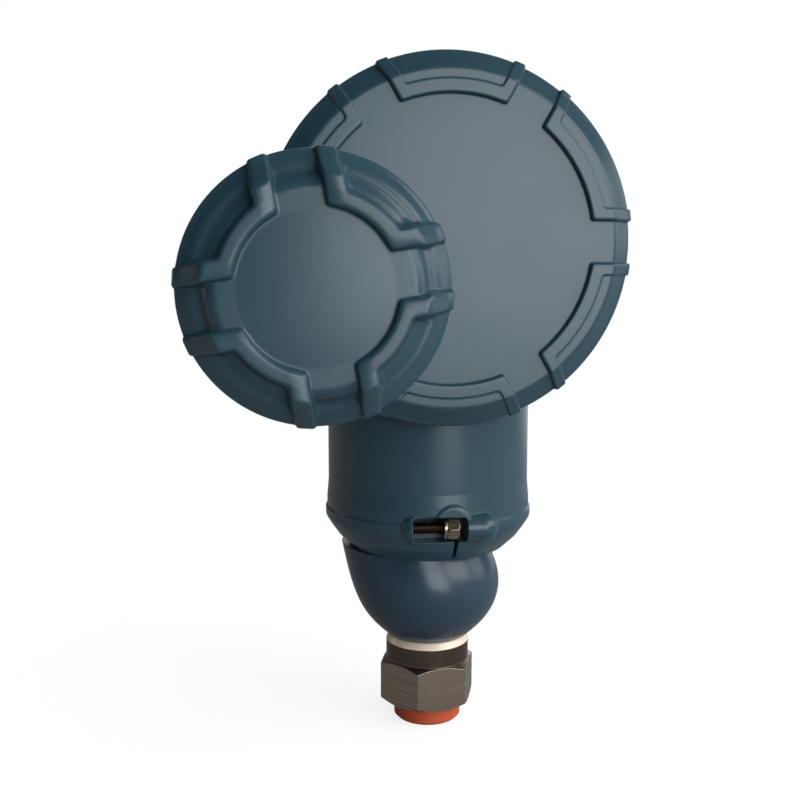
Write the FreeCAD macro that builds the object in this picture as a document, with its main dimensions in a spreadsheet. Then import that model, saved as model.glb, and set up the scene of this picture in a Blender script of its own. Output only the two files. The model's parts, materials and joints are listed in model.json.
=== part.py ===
"""Pressure transmitter with a two-compartment field housing on a ball-shaped sensor module.

Origin: on the process axis where the port's thread begins, at the bottom of the plain
mouth in the hexagon's underside.  +Z runs up the process axis and both screwed covers
face -Y.  Millimetres throughout.
"""
import FreeCAD, Part
import os
import re

import Sketcher
from FreeCAD import Placement, Rotation, Vector

DOC = FreeCAD.newDocument("PressureTransmitter")
SHEET = DOC.addObject("Spreadsheet::Sheet", "Sizes")

# alias, value, what it sets
SIZES = (
    # process connection
    ("hex_flats", 28.6, "hexagon across flats, one and an eighth inch"),
    ("hex_height", 14.6, "hexagon height"),
    ("hex_turn", 10.7, "turn of the hexagon about the process axis"),
    ("hex_bevel", 1.3, "drop of the bevel at the hexagon's corners"),
    ("hex_foot_bevel", 1.5, "rise of the bevel under the corners"),
    ("collar_radius", 13.9, "round collar above the hexagon"),
    ("collar_top", 17.2, "height of the collar's cylinder"),
    ("shoulder_rise", 2.4, "height of the sloping shoulder on the collar"),
    ("spigot_radius", 12.4, "steel spigot welded into the module"),
    ("spigot_top", 27.4, "height of the steel spigot"),
    ("port_radius", 9.2, "tapping radius of the half-inch taper thread"),
    ("port_depth", 14.9, "threaded length of the port"),
    ("mouth_radius", 10.9, "plain mouth that takes the shipping plug"),
    ("mouth_depth", 3.6, "depth of the plain mouth"),
    ("passage_radius", 2.5, "pressure passage above the port"),
    ("membrane_radius", 9.9, "isolating membrane"),
    ("membrane_gauge", 0.4, "thickness of the isolating membrane"),
    ("membrane_seat", 26.3, "height of the membrane's seat"),
    # shipping plug
    ("plug_radius", 11.2, "outside of the plug's cap"),
    ("plug_drop", 6.2, "how far the plug hangs below the hexagon"),
    ("plug_skirt", 3.0, "length of the plug inside the mouth"),
    ("plug_wall", 1.6, "wall of the plug"),
    # sensor module, a bulb of round sections that lean back and left near the top
    ("foot_height", 19.6, "lowest section of the bulb"),
    ("section_step", 6.2, "height from each section to the next"),
    ("foot_radius", 13.6, "radius of the lowest section"),
    ("lower_radius", 19.7, "radius of the second section"),
    ("swell_radius", 23.3, "radius of the third section"),
    ("swell_lean", 0.2, "its lean"),
    ("belly_radius", 24.9, "radius of the fourth section"),
    ("belly_lean", 1.0, "its lean"),
    ("chest_radius", 25.1, "radius of the fifth section"),
    ("chest_lean", 2.7, "its lean"),
    ("rim_radius", 24.6, "radius of the top section"),
    ("rim_lean", 4.9, "its lean"),
    ("lean_angle", 143.0, "direction of the lean, from +X towards +Y"),
    ("ledge_wide", 4.0, "width of the ledge that carries the sensor board"),
    ("stem_radius", 24.5, "round stem that the housing turns on"),
    ("stem_wall", 4.0, "wall of the stem"),
    ("stem_top", 76.4, "height of the stem"),
    ("ledge_height", 52.4, "height of that ledge"),
    ("cell_radius", 13.0, "sensor cell"),
    ("cell_room", 3.5, "room left round the sensor cell"),
    ("cell_top", 39.4, "top of the sensor cell"),
    ("header_radius", 8.0, "glass-sealed header on the cell"),
    ("header_rise", 3.0, "height of the header"),
    ("pin_radius", 0.6, "header pins"),
    ("pin_circle", 4.5, "pitch radius of the header pins"),
    ("board_gauge", 1.6, "thickness of the circuit boards"),
    ("cap_gauge", 3.0, "top plate of the module cap"),
    ("cap_wall", 2.2, "skirt of the module cap"),
    ("neck_ring", 1.05, "section radius of the neck seal"),
    ("neck_ring_height", 70.9, "height of the neck seal"),
    # fits
    ("turning_gap", 0.3, "clearance between pieces that turn or screw on each other"),
    ("seat_gap", 0.1, "clearance between fixed pieces"),
    # housing
    ("neck_radius", 33.0, "neck of the housing"),
    ("neck_foot", 51.0, "underside of the neck"),
    ("neck_flare", 73.0, "where the neck starts to widen towards the band"),
    ("neck_soft", 2.4, "rounding of the bends in the neck"),
    ("band_proud", 1.0, "how far the clamp band stands out from the neck"),
    ("band_top", 63.6, "top edge of the clamp band"),
    ("band_base", 61.0, "where the band starts to curve in"),
    ("socket_top", 79.4, "top of the socket for the module's stem"),
    ("way_radius", 15.0, "cable way from the neck into the main drum"),
    ("main_height", 148.6, "height of the main drum's axis"),
    ("main_radius", 50.4, "main drum"),
    ("main_front", 34.0, "front face of the main drum, ahead of the process axis"),
    ("main_back", 32.0, "rear wall of the main drum, behind the process axis"),
    ("main_soft", 7.0, "rounding of the bends at its back"),
    ("main_bore", 46.0, "threaded bore for the large cover"),
    ("main_room", 44.0, "electronics compartment"),
    ("room_back", 24.0, "floor of the electronics compartment"),
    ("side_inset", 13.0, "small drum's axis, inside the large cover's rim"),
    ("side_height", 135.4, "height of the small drum's axis"),
    ("side_radius", 32.2, "small drum"),
    ("side_front", 70.0, "front face of the small drum"),
    ("side_back", 23.0, "rear wall of the small drum"),
    ("side_soft", 4.5, "rounding of the bends at its back"),
    ("side_bore", 28.4, "threaded bore for the small cover"),
    ("side_floor", 60.2, "floor of the small drum's cup"),
    ("cup_back", 56.8, "rear face of the cup where it overhangs the large cover"),
    ("sweep_gap", 2.1, "room left round the large cover's lugs"),
    ("duct_wall", 4.0, "wall between that room and the wiring duct"),
    ("duct_inset", 1.0, "outer wall of the wiring duct, inside the small bore"),
    ("duct_back", 18.0, "rear end of the wiring duct"),
    ("entry_radius", 9.2, "tapping radius of the cable entries"),
    ("entry_boss", 13.4, "boss round a cable entry"),
    ("boss_soft", 1.0, "rounding of the bosses' rims"),
    ("entry_depth", 15.0, "threaded length of a cable entry"),
    ("left_proud", 5.5, "mouth of the left cable entry, out from the small drum"),
    ("left_entry_back", 4.0, "left entry's axis behind the process axis"),
    ("right_entry", 59.0, "mouth of the right cable entry"),
    ("post_circle", 39.5, "pitch radius of the board posts"),
    ("post_radius", 4.7, "board posts"),
    ("post_front", 4.0, "front face of the board posts"),
    ("post_hole", 1.5, "radius of the holes in the posts"),
    ("gland_radius", 3.5, "sealed wire gland between the compartments"),
    # clamp on the neck
    ("window_left", 9.9, "window in the band, left side"),
    ("window_right", 7.1, "window in the band, right side"),
    ("window_low", 58.3, "lower edge of the window"),
    ("window_high", 66.4, "upper edge of the window"),
    ("window_round", 1.4, "radius of the window's corners"),
    ("window_wall", 1.2, "wall between the window and the stem's socket"),
    ("screw_height", 62.5, "axis of the clamp screw"),
    ("screw_inset", 2.8, "axis of the clamp screw, inside the neck's face"),
    ("screw_radius", 1.8, "clamp screw"),
    ("screw_flats", 6.6, "head of the clamp screw across flats"),
    ("screw_head", 4.2, "length of the head"),
    ("screw_seat", 0.9, "underside of the head, right of the process axis"),
    ("screw_grip", 2.6, "length of the screw inside the band"),
    ("washer_radius", 3.9, "washer under the head"),
    ("washer_gauge", 0.9, "its thickness"),
    ("brow_radius", 6.0, "raised brow over the screw head"),
    ("brow_right", 2.6, "its centre, right of the process axis"),
    ("brow_height", 64.4, "its centre height"),
    ("brow_proud", 1.1, "how far it stands off the neck"),
    ("brow_soft", 1.6, "rounding of its rim"),
    ("lobe_radius", 4.6, "rounded lobe along the clamp screw"),
    ("lobe_inset", 2.5, "axis of the lobe, inside the neck's face"),
    ("lobe_left", 8.5, "where the lobe ends on the left"),
    ("lobe_right", 12.6, "where the lobe ends on the right"),
    ("slit_width", 1.3, "slit that lets the band close"),
    ("slit_right", 4.0, "the slit, right of the process axis"),
    # large cover
    ("large_radius", 53.3, "large cover's rim"),
    ("large_face", 44.5, "large cover's face, ahead of the process axis"),
    ("large_edge", 47.6, "radius where the face meets the bevel"),
    ("large_bevel", 39.4, "where the bevel meets the rim"),
    ("large_lugs", 6, "grip lugs"),
    ("large_lug_in", 40.7, "inner radius of the lugs"),
    ("large_lug_top", 46.1, "top of the lugs, ahead of the process axis"),
    ("large_arc", 3.9, "width of the lug's arc"),
    ("large_rib", 3.4, "width of the lug's ribs"),
    ("large_channel", 12.2, "width of the channel between lugs"),
    ("large_proud", 0.6, "how far the lugs stand past the rim"),
    ("large_recess", 0.5, "depth of the recess between a lug's ribs"),
    ("large_thread", 8.0, "length of the threaded skirt"),
    ("large_skirt", 4.0, "wall of the threaded skirt"),
    ("large_shell", 5.6, "thickness of the face"),
    # small cover
    ("small_radius", 34.2, "small cover's rim"),
    ("small_face", 85.9, "small cover's face, ahead of the process axis"),
    ("small_edge", 24.6, "radius where the face meets the lip's bevel"),
    ("small_step", 27.6, "radius of the foot of the step"),
    ("small_shelf", 80.8, "shelf round the step"),
    ("small_shelf_out", 30.6, "outer radius of the shelf"),
    ("small_bevel", 77.0, "where the outer bevel meets the rim"),
    ("small_lugs", 4, "grip lugs"),
    ("small_turn", 9.75, "turn of the lugs about the small axis"),
    ("small_lug_in", 20.0, "inner radius of the lugs"),
    ("small_lug_top", 88.0, "top of the lugs, ahead of the process axis"),
    ("small_arc", 4.1, "width of the lug's arc"),
    ("small_rib", 4.8, "width of the lug's ribs"),
    ("small_channel", 12.0, "width of the channel between lugs"),
    ("small_proud", 0.5, "how far the lugs stand past the rim"),
    ("small_thread", 7.0, "length of the threaded skirt"),
    ("small_skirt", 3.0, "wall of the threaded skirt"),
    ("small_shell", 4.0, "thickness of the face"),
    # cover seals
    ("ring_section", 1.05, "section radius of the cover seals"),
    ("ring_groove", 2.4, "width and depth of their grooves"),
    # electronics
    ("board_radius", 43.0, "main board"),
    ("hood_radius", 33.5, "hood over the electronics"),
    ("hood_rise", 14.0, "height of the hood"),
    ("hood_wall", 2.0, "wall of the hood"),
    ("hood_flange", 2.0, "flange of the hood"),
    ("board_screw", 1.4, "radius of the board screws"),
    ("board_head", 3.0, "head radius of the board screws"),
    ("socket_wide", 16.0, "cable sockets, width"),
    ("socket_deep", 5.0, "cable sockets, depth"),
    ("socket_rise", 5.0, "cable sockets, height"),
    ("ribbon_wide", 12.0, "ribbon cable, width"),
    ("ribbon_gauge", 0.9, "ribbon cable, thickness"),
    ("ribbon_back", 5.0, "ribbon's lower run behind the process axis"),
    ("ribbon_rise", 0.28, "share of its height that runs straight from the lower socket"),
    ("ribbon_drop", 0.33, "share of its height that runs straight to the upper socket"),
    ("socket_drop", 24.0, "board's cable socket, below the main axis"),
    # terminals
    ("block_gap", 4.4, "room round the terminal block in the small bore"),
    ("block_gauge", 6.0, "its thickness"),
    ("barrier_rise", 5.5, "barriers between the terminals"),
    ("barrier_gauge", 1.8, "their thickness"),
    ("barrier_length", 22.0, "their length"),
    ("terminal_pitch", 10.5, "spacing of the terminals"),
    ("terminal_head", 3.1, "head radius of the terminal screws"),
    ("terminal_shank", 1.6, "their shank"),
    ("clamp_side", 7.6, "side of the wire clamps"),
    ("clamp_gauge", 1.0, "their thickness"),
    ("notch_offset", 17.0, "flat on the block that leaves the wires a way to the duct"),
    ("fixing_inset", 6.5, "block screws, in from the block's edge"),
    # earth screw
    ("earth_height", 84.4, "external earth screw"),
    ("earth_boss", 6.0, "its boss"),
    ("earth_proud", 3.5, "how far its boss stands out from the neck"),
    ("earth_screw", 2.5, "its shank"),
    ("earth_head", 4.2, "its head"),
)
# measures that follow from the sizes, read in expressions as if they were aliases
TIED = {
    "stem_bore": "(stem_radius - stem_wall)",
    "chamber_radius": "(stem_bore - ledge_wide)",
    "cell_chamber": "(cell_radius + cell_room)",
    "band_radius": "(neck_radius + band_proud)",
    "window_floor": "(stem_radius + turning_gap + window_wall)",
    "screw_ahead": "(neck_radius - screw_inset)",
    "lobe_ahead": "(neck_radius - lobe_inset)",
    "side_left": "(large_radius - side_inset)",
    "left_entry": "(side_left + side_radius + left_proud)",
    "sweep_radius": "(large_radius + large_proud + sweep_gap)",
    "duct_radius": "(sweep_radius + duct_wall)",
    "duct_reach": "(side_bore - duct_inset)",
    "block_radius": "(side_bore - block_gap)",
    "fixing_offset": "(block_radius - fixing_inset)",
    "earth_out": "(neck_radius + earth_proud)",
}
FUNCTIONS = {"sin", "cos", "tan", "asin", "acos", "atan", "sqrt", "min", "max"}
AXES = {
    "Z": Rotation(),
    "-Z": Rotation(Vector(1, 0, 0), 180),
    "X": Rotation(Vector(0, 1, 0), 90),
    "-X": Rotation(Vector(0, 1, 0), -90),
    "Y": Rotation(Vector(1, 0, 0), -90),
    "-Y": Rotation(Vector(1, 0, 0), 90),
}


# ---------------------------------------------------------------- document helpers

def fill_sheet():
    """Write the driving dimensions, one row each, with their aliases."""
    for row, (alias, value, note) in enumerate(SIZES, start=1):
        SHEET.set("A%d" % row, alias)
        SHEET.set("B%d" % row, str(value))
        SHEET.setAlias("B%d" % row, alias)
        SHEET.set("C%d" % row, note)
    DOC.recompute()


def sheet(expression):
    """Expression with its tied measures written out and each alias read from the sheet."""
    def spelled(match):
        word = match.group()
        if word in TIED:
            return sheet(TIED[word])
        return word if word in FUNCTIONS else "Sizes." + word

    return re.sub(r"[a-z][a-z_]*", spelled, str(expression))


def amount(expression):
    """Present value of an expression over the aliases."""
    value = SHEET.evalExpression(sheet(expression))
    return float(getattr(value, "Value", value))


def bind(thing, **links):
    """Bind properties, written with __ for a dot, to expressions."""
    for prop, expression in links.items():
        thing.setExpression(prop.replace("__", "."), sheet(expression))


def place(thing, x="0", y="0", z="0", axis="Z", turn=0.0):
    """Put an object at an expression-bound point with its own Z along an axis."""
    thing.Placement = Placement(Vector(amount(x), amount(y), amount(z)),
                                AXES[axis] * Rotation(Vector(0, 0, 1), turn))
    bind(thing, Placement__Base__x=x, Placement__Base__y=y, Placement__Base__z=z)
    return thing


def cylinder(label, radius, height, x="0", y="0", z="0", axis="Z"):
    """Part::Cylinder with bound sizes."""
    solid = DOC.addObject("Part::Cylinder", label)
    bind(solid, Radius=radius, Height=height)
    return place(solid, x, y, z, axis)


def box(label, length, width, height, x="0", y="0", z="0"):
    """Part::Box with bound sizes; x, y and z are its lowest corner."""
    solid = DOC.addObject("Part::Box", label)
    bind(solid, Length=length, Width=width, Height=height)
    return place(solid, x, y, z)


def ring(label, radius, section, x="0", y="0", z="0", axis="Z"):
    """Part::Torus with bound sizes."""
    solid = DOC.addObject("Part::Torus", label)
    bind(solid, Radius1=radius, Radius2=section)
    return place(solid, x, y, z, axis)


def fuse(label, *pieces):
    """Part::MultiFuse of several solids."""
    solid = DOC.addObject("Part::MultiFuse", label)
    solid.Shapes = list(pieces)
    solid.Refine = True
    return solid


def cut(label, base, *tools):
    """Part::Cut of one or several tools out of a base."""
    solid = DOC.addObject("Part::Cut", label)
    solid.Base = base
    solid.Tool = tools[0] if len(tools) == 1 else fuse(label + "_tools", *tools)
    return solid


def is_round(edge):
    """True for an edge that is a circle or an arc."""
    return isinstance(edge.Curve, Part.Circle)


def centre_of(edge):
    """Middle of an edge's box."""
    return edge.BoundBox.Center


def softened(label, base, radius, chosen):
    """Fillet the edges of a solid that the given test picks."""
    DOC.recompute()
    thing = DOC.addObject("Part::Fillet", label)
    thing.Base = base
    size = amount(radius)
    thing.Edges = [(number, size, size) for number, edge in
                   enumerate(base.Shape.Edges, start=1) if chosen(edge)]
    return thing


def body(label, x="0", y="0", z="0", axis="Z", turn=0.0):
    """PartDesign body placed in the object's frame."""
    return place(DOC.addObject("PartDesign::Body", label), x, y, z, axis, turn)


def origin(owner, role):
    """Plane or axis of a body's own origin."""
    return next(f for f in owner.Origin.OriginFeatures if f.Role == role)


def sketch(owner, name, plane="XZ_Plane", height="0"):
    """Empty sketch on one of the body's origin planes, lifted along its normal."""
    page = owner.newObject("Sketcher::SketchObject", name)
    page.AttachmentSupport = (origin(owner, plane), [""])
    page.MapMode = "FlatFace"
    page.setExpression("AttachmentOffset.Base.z", sheet(height))
    return page


def pin(page, geometry, point, x, y):
    """Tie one sketch point to a pair of expressions."""
    for kind, axis, expression in (("DistanceX", -2, x), ("DistanceY", -1, y)):
        value = amount(expression)
        if abs(value) < 1e-9:
            page.addConstraint(Sketcher.Constraint("PointOnObject", geometry, point, axis))
        else:
            index = page.addConstraint(
                Sketcher.Constraint(kind, -1, 1, geometry, point, value))
            page.setExpression("Constraints[%d]" % index, sheet(expression))


def outline(owner, name, corners, plane="XZ_Plane", height="0"):
    """Closed straight-sided sketch; each corner is a pair of expressions."""
    page = sketch(owner, name, plane, height)
    spots = [Vector(amount(x), amount(y), 0) for x, y in corners]
    total = len(spots)
    for i, spot in enumerate(spots):
        page.addGeometry(Part.LineSegment(spot, spots[(i + 1) % total]))
    for i in range(total):
        page.addConstraint(Sketcher.Constraint("Coincident", i, 2, (i + 1) % total, 1))
    for i, (x, y) in enumerate(corners):
        pin(page, i, 1, x, y)
    return page


def circles(owner, name, rounds, plane="XY_Plane", height="0"):
    """Sketch of circles; each is an expression triple of centre and radius."""
    page = sketch(owner, name, plane, height)
    for i, (x, y, radius) in enumerate(rounds):
        page.addGeometry(Part.Circle(Vector(amount(x), amount(y), 0), Vector(0, 0, 1),
                                     amount(radius)))
        pin(page, i, 3, x, y)
        index = page.addConstraint(Sketcher.Constraint("Radius", i, amount(radius)))
        page.setExpression("Constraints[%d]" % index, sheet(radius))
    return page


def revolve(owner, page, removed=False):
    """Full turn of a sketch about its own vertical axis."""
    kind = "PartDesign::Groove" if removed else "PartDesign::Revolution"
    feature = owner.newObject(kind, page.Name + "_turned")
    feature.Profile = page
    feature.ReferenceAxis = (page, ["V_Axis"])
    feature.Angle = 360
    return feature


def pad(owner, page, length, both=False):
    """Pad along the sketch's normal, or both ways from it."""
    feature = owner.newObject("PartDesign::Pad", page.Name + "_pad")
    feature.Profile = page
    if both:
        feature.Midplane = True
    bind(feature, Length=length)
    return feature


def pocket(owner, page, length, forward=False):
    """Pocket against the sketch's normal, or along it when forward."""
    feature = owner.newObject("PartDesign::Pocket", page.Name + "_pocket")
    feature.Profile = page
    feature.Reversed = forward
    bind(feature, Length=length)
    return feature


def around(owner, feature, count):
    """Polar pattern of a feature about the body's Z axis."""
    pattern = owner.newObject("PartDesign::PolarPattern", feature.Name + "_around")
    pattern.Originals = [feature]
    pattern.Axis = (origin(owner, "Z_Axis"), [""])
    pattern.Angle = 360
    bind(pattern, Occurrences=count)
    owner.Tip = pattern
    return pattern


def turned(label, corners, x="0", y="0", z="0", axis="Z", turn=0.0):
    """Body made by turning one half-section about its Z axis."""
    owner = body(label, x, y, z, axis, turn)
    revolve(owner, outline(owner, label + "_section", corners))
    return owner


def hexagon(owner, name, flats, height, turn="0"):
    """Sketch of a regular hexagon with a corner turned from the body's X axis."""
    corners = [("%s / sqrt(3) * cos(%d + %s)" % (flats, step, turn),
                "%s / sqrt(3) * sin(%d + %s)" % (flats, step, turn))
               for step in range(0, 360, 60)]
    return outline(owner, name, corners, "XY_Plane", height)


# ---------------------------------------------------------------- process side

def process_connection():
    """Steel hexagon with the threaded port, collar and welded spigot, one bar turned."""
    owner = body("process_connection")
    pad(owner, hexagon(owner, "hexagon", "hex_flats", "-mouth_depth", "hex_turn"),
        "hex_height")
    top = "(hex_height - mouth_depth)"
    # the bevel is a cone through the corners at the top
    reach = "hex_flats / sqrt(3) + 1"
    revolve(owner, outline(owner, "bevel", (
        ("hex_flats / 2 - 0.25", top + " + 0.01"),
        ("hex_flats / sqrt(3)", top + " - hex_bevel"),
        (reach, top + " - hex_bevel"),
        (reach, top + " + 0.01"))), removed=True)
    revolve(owner, outline(owner, "foot_bevel", (
        ("hex_flats / 2 - 0.1", "-mouth_depth - 0.01"),
        ("hex_flats / sqrt(3)", "-mouth_depth + hex_foot_bevel"),
        (reach, "-mouth_depth + hex_foot_bevel"),
        (reach, "-mouth_depth - 0.01"))), removed=True)
    revolve(owner, outline(owner, "collar", (
        ("0", top + " - 1"),
        ("collar_radius", top + " - 1"),
        ("collar_radius", "collar_top"),
        ("spigot_radius", "collar_top + shoulder_rise"),
        ("spigot_radius", "spigot_top"),
        ("0", "spigot_top"))))
    revolve(owner, outline(owner, "port", (
        ("0", "-mouth_depth - 1"),
        ("mouth_radius", "-mouth_depth - 1"),
        ("mouth_radius", "0"),
        ("port_radius", "0"),
        ("port_radius", "port_depth"),
        ("passage_radius", "port_depth + 3"),
        ("passage_radius", "membrane_seat - 0.8"),
        ("membrane_radius - 1.2", "membrane_seat"),
        ("membrane_radius + seat_gap", "membrane_seat"),
        ("membrane_radius + seat_gap", "spigot_top + 1"),
        ("0", "spigot_top + 1"))), removed=True)
    return owner


def isolating_membrane():
    """Thin disc with one shallow corrugation between the process and the fill oil."""
    top = "membrane_seat + membrane_gauge"
    return turned("isolating_membrane", (
        ("0", "membrane_seat"), ("membrane_radius", "membrane_seat"),
        ("membrane_radius", top), ("membrane_radius * 0.6", top),
        ("membrane_radius * 0.5", top + " - 0.15"), ("membrane_radius * 0.4", top),
        ("0", top)))


def port_plug():
    """Orange press-in shipping plug, a hollow cap with a short skirt in the mouth."""
    skirt = "(mouth_radius - turning_gap)"
    face = "(-mouth_depth - 0.05)"
    foot = "(-mouth_depth - plug_drop)"
    return turned("port_plug", (
        ("0", foot), ("plug_radius - 0.9", foot), ("plug_radius", foot + " + 0.9"),
        ("plug_radius", face), (skirt, face), (skirt, "plug_skirt - mouth_depth"),
        (skirt + " - plug_wall", "plug_skirt - mouth_depth"),
        (skirt + " - plug_wall", foot + " + plug_wall"), ("0", foot + " + plug_wall")))


# ---------------------------------------------------------------- sensor module

def module_body():
    """Painted bulb, lofted through round sections that lean, with the turning stem."""
    sections = []
    for step, (name, lean) in enumerate((
            ("foot", "0"), ("lower", "0"), ("swell", "swell_lean"),
            ("belly", "belly_lean"), ("chest", "chest_lean"), ("rim", "rim_lean"))):
        section = DOC.addObject("Part::Circle", name + "_section")
        bind(section, Radius=name + "_radius")
        place(section, lean + " * cos(lean_angle)", lean + " * sin(lean_angle)",
              "foot_height + %d * section_step" % step)
        sections.append(section)
    bulb = DOC.addObject("Part::Loft", "bulb")
    bulb.Sections = sections
    bulb.Solid = True
    rim = "(foot_height + 5 * section_step)"
    stem = cylinder("stem", "stem_radius", "stem_top - %s + 0.2" % rim, z=rim + " - 0.2")
    groove = turned("neck_ring_groove", (
        ("stem_radius - ring_groove", "neck_ring_height - ring_groove / 2"),
        ("stem_radius + 1", "neck_ring_height - ring_groove / 2"),
        ("stem_radius + 1", "neck_ring_height + ring_groove / 2"),
        ("stem_radius - ring_groove", "neck_ring_height + ring_groove / 2")))
    hollow = turned("module_hollow", (
        ("0", "foot_height - 1"), ("spigot_radius + seat_gap", "foot_height - 1"),
        ("spigot_radius + seat_gap", "spigot_top"), ("cell_radius + seat_gap", "spigot_top"),
        ("cell_radius + seat_gap", "spigot_top + 3"),
        ("cell_chamber", "spigot_top + 6"), ("cell_chamber", "cell_top + 2"),
        ("chamber_radius", "cell_top + 6"),
        ("chamber_radius", "ledge_height"), ("stem_bore", "ledge_height"),
        ("stem_bore", "stem_top + 1"), ("0", "stem_top + 1")))
    return cut("module_body", fuse("module_blank", bulb, stem), hollow, groove)


def sensor_cell():
    """Welded steel capsule that holds the silicon sensor and its fill oil."""
    low = "membrane_seat + membrane_gauge + seat_gap"
    return turned("sensor_cell", (
        ("0", low), ("membrane_radius - 0.2", low), ("membrane_radius - 0.2", "spigot_top"),
        ("cell_radius", "spigot_top"), ("cell_radius", "cell_top - 1"),
        ("cell_radius - 1", "cell_top"), ("0", "cell_top")))


def sensor_header():
    """Glass-sealed header with its four pins up to the sensor board."""
    owner = body("sensor_header")
    pad(owner, circles(owner, "header_disc", (("0", "0", "header_radius"),),
                       height="cell_top"), "header_rise")
    pins = pad(owner, circles(owner, "header_pin", (("pin_circle", "0", "pin_radius"),),
                              height="cell_top + 1"),
               "ledge_height - cell_top - 1 - seat_gap")
    around(owner, pins, "4")
    return owner


def fill_tube():
    """Pinched-off tube through which the cell was filled with oil."""
    return turned("fill_tube", (
        ("0", "cell_top"), ("1.3", "cell_top"), ("1.3", "cell_top + 6"),
        ("0.5", "cell_top + 7.5"), ("0", "cell_top + 7.5")), x="cell_radius - 2.6")


def sensor_board():
    """Round signal board on the ledge of the stem."""
    return cylinder("sensor_board", "stem_bore - seat_gap", "board_gauge", z="ledge_height")


def module_cap():
    """Cap with a skirt that closes the stem and holds the sensor board down."""
    low = "ledge_height + board_gauge"
    edge = "stem_bore - seat_gap"
    return turned("module_cap", (
        (edge + " - cap_wall", low), (edge, low), (edge, "stem_top - 0.8"),
        (edge + " - 0.8", "stem_top"), ("0", "stem_top"), ("0", "stem_top - cap_gauge"),
        (edge + " - cap_wall", "stem_top - cap_gauge")))


def neck_seal():
    """Rubber ring in the stem's groove, against the bore of the neck."""
    return ring("neck_seal", "stem_radius - neck_ring - 0.15", "neck_ring",
                z="neck_ring_height")


# ---------------------------------------------------------------- housing

def clamp_window():
    """Solids taken out of the neck for the clamp screw, and the lobes added round it."""
    opening = softened("window_opening", box(
        "window", "window_left + window_right", "neck_radius - window_floor + 5",
        "window_high - window_low", x="-window_left", y="-neck_radius - 5", z="window_low"),
        "window_round", lambda edge: abs(edge.tangentAt(edge.FirstParameter).y) > 0.9)
    hole = cylinder("screw_hole", "screw_radius + seat_gap", "screw_grip + 0.7",
                    x="-window_left + 0.5", y="-screw_ahead", z="screw_height", axis="-X")
    slit = box("slit", "slit_width", "neck_radius - stem_radius + 12",
               "window_low - neck_foot + 3", x="slit_right - slit_width / 2",
               y="-neck_radius - 12", z="neck_foot - 2")
    brow = softened("soft_brow", cylinder(
        "brow", "brow_radius", "neck_radius + brow_proud - window_floor",
        x="brow_right", y="-window_floor", z="brow_height", axis="-Y"),
        "brow_soft", lambda edge: edge.Length > 1 and centre_of(edge).y < -amount("neck_radius"))
    lobe = cylinder("lobe", "lobe_radius", "lobe_left + lobe_right",
                    x="-lobe_left", y="-lobe_ahead", z="screw_height", axis="X")
    ends = []
    for label, x in (("lobe_left_end", "-lobe_left"), ("lobe_right_end", "lobe_right")):
        tip = DOC.addObject("Part::Sphere", label)
        bind(tip, Radius="lobe_radius")
        place(tip, x, "-lobe_ahead", "screw_height")
        ends.append(tip)
    return (brow, lobe, *ends), (opening, hole, slit)


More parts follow.
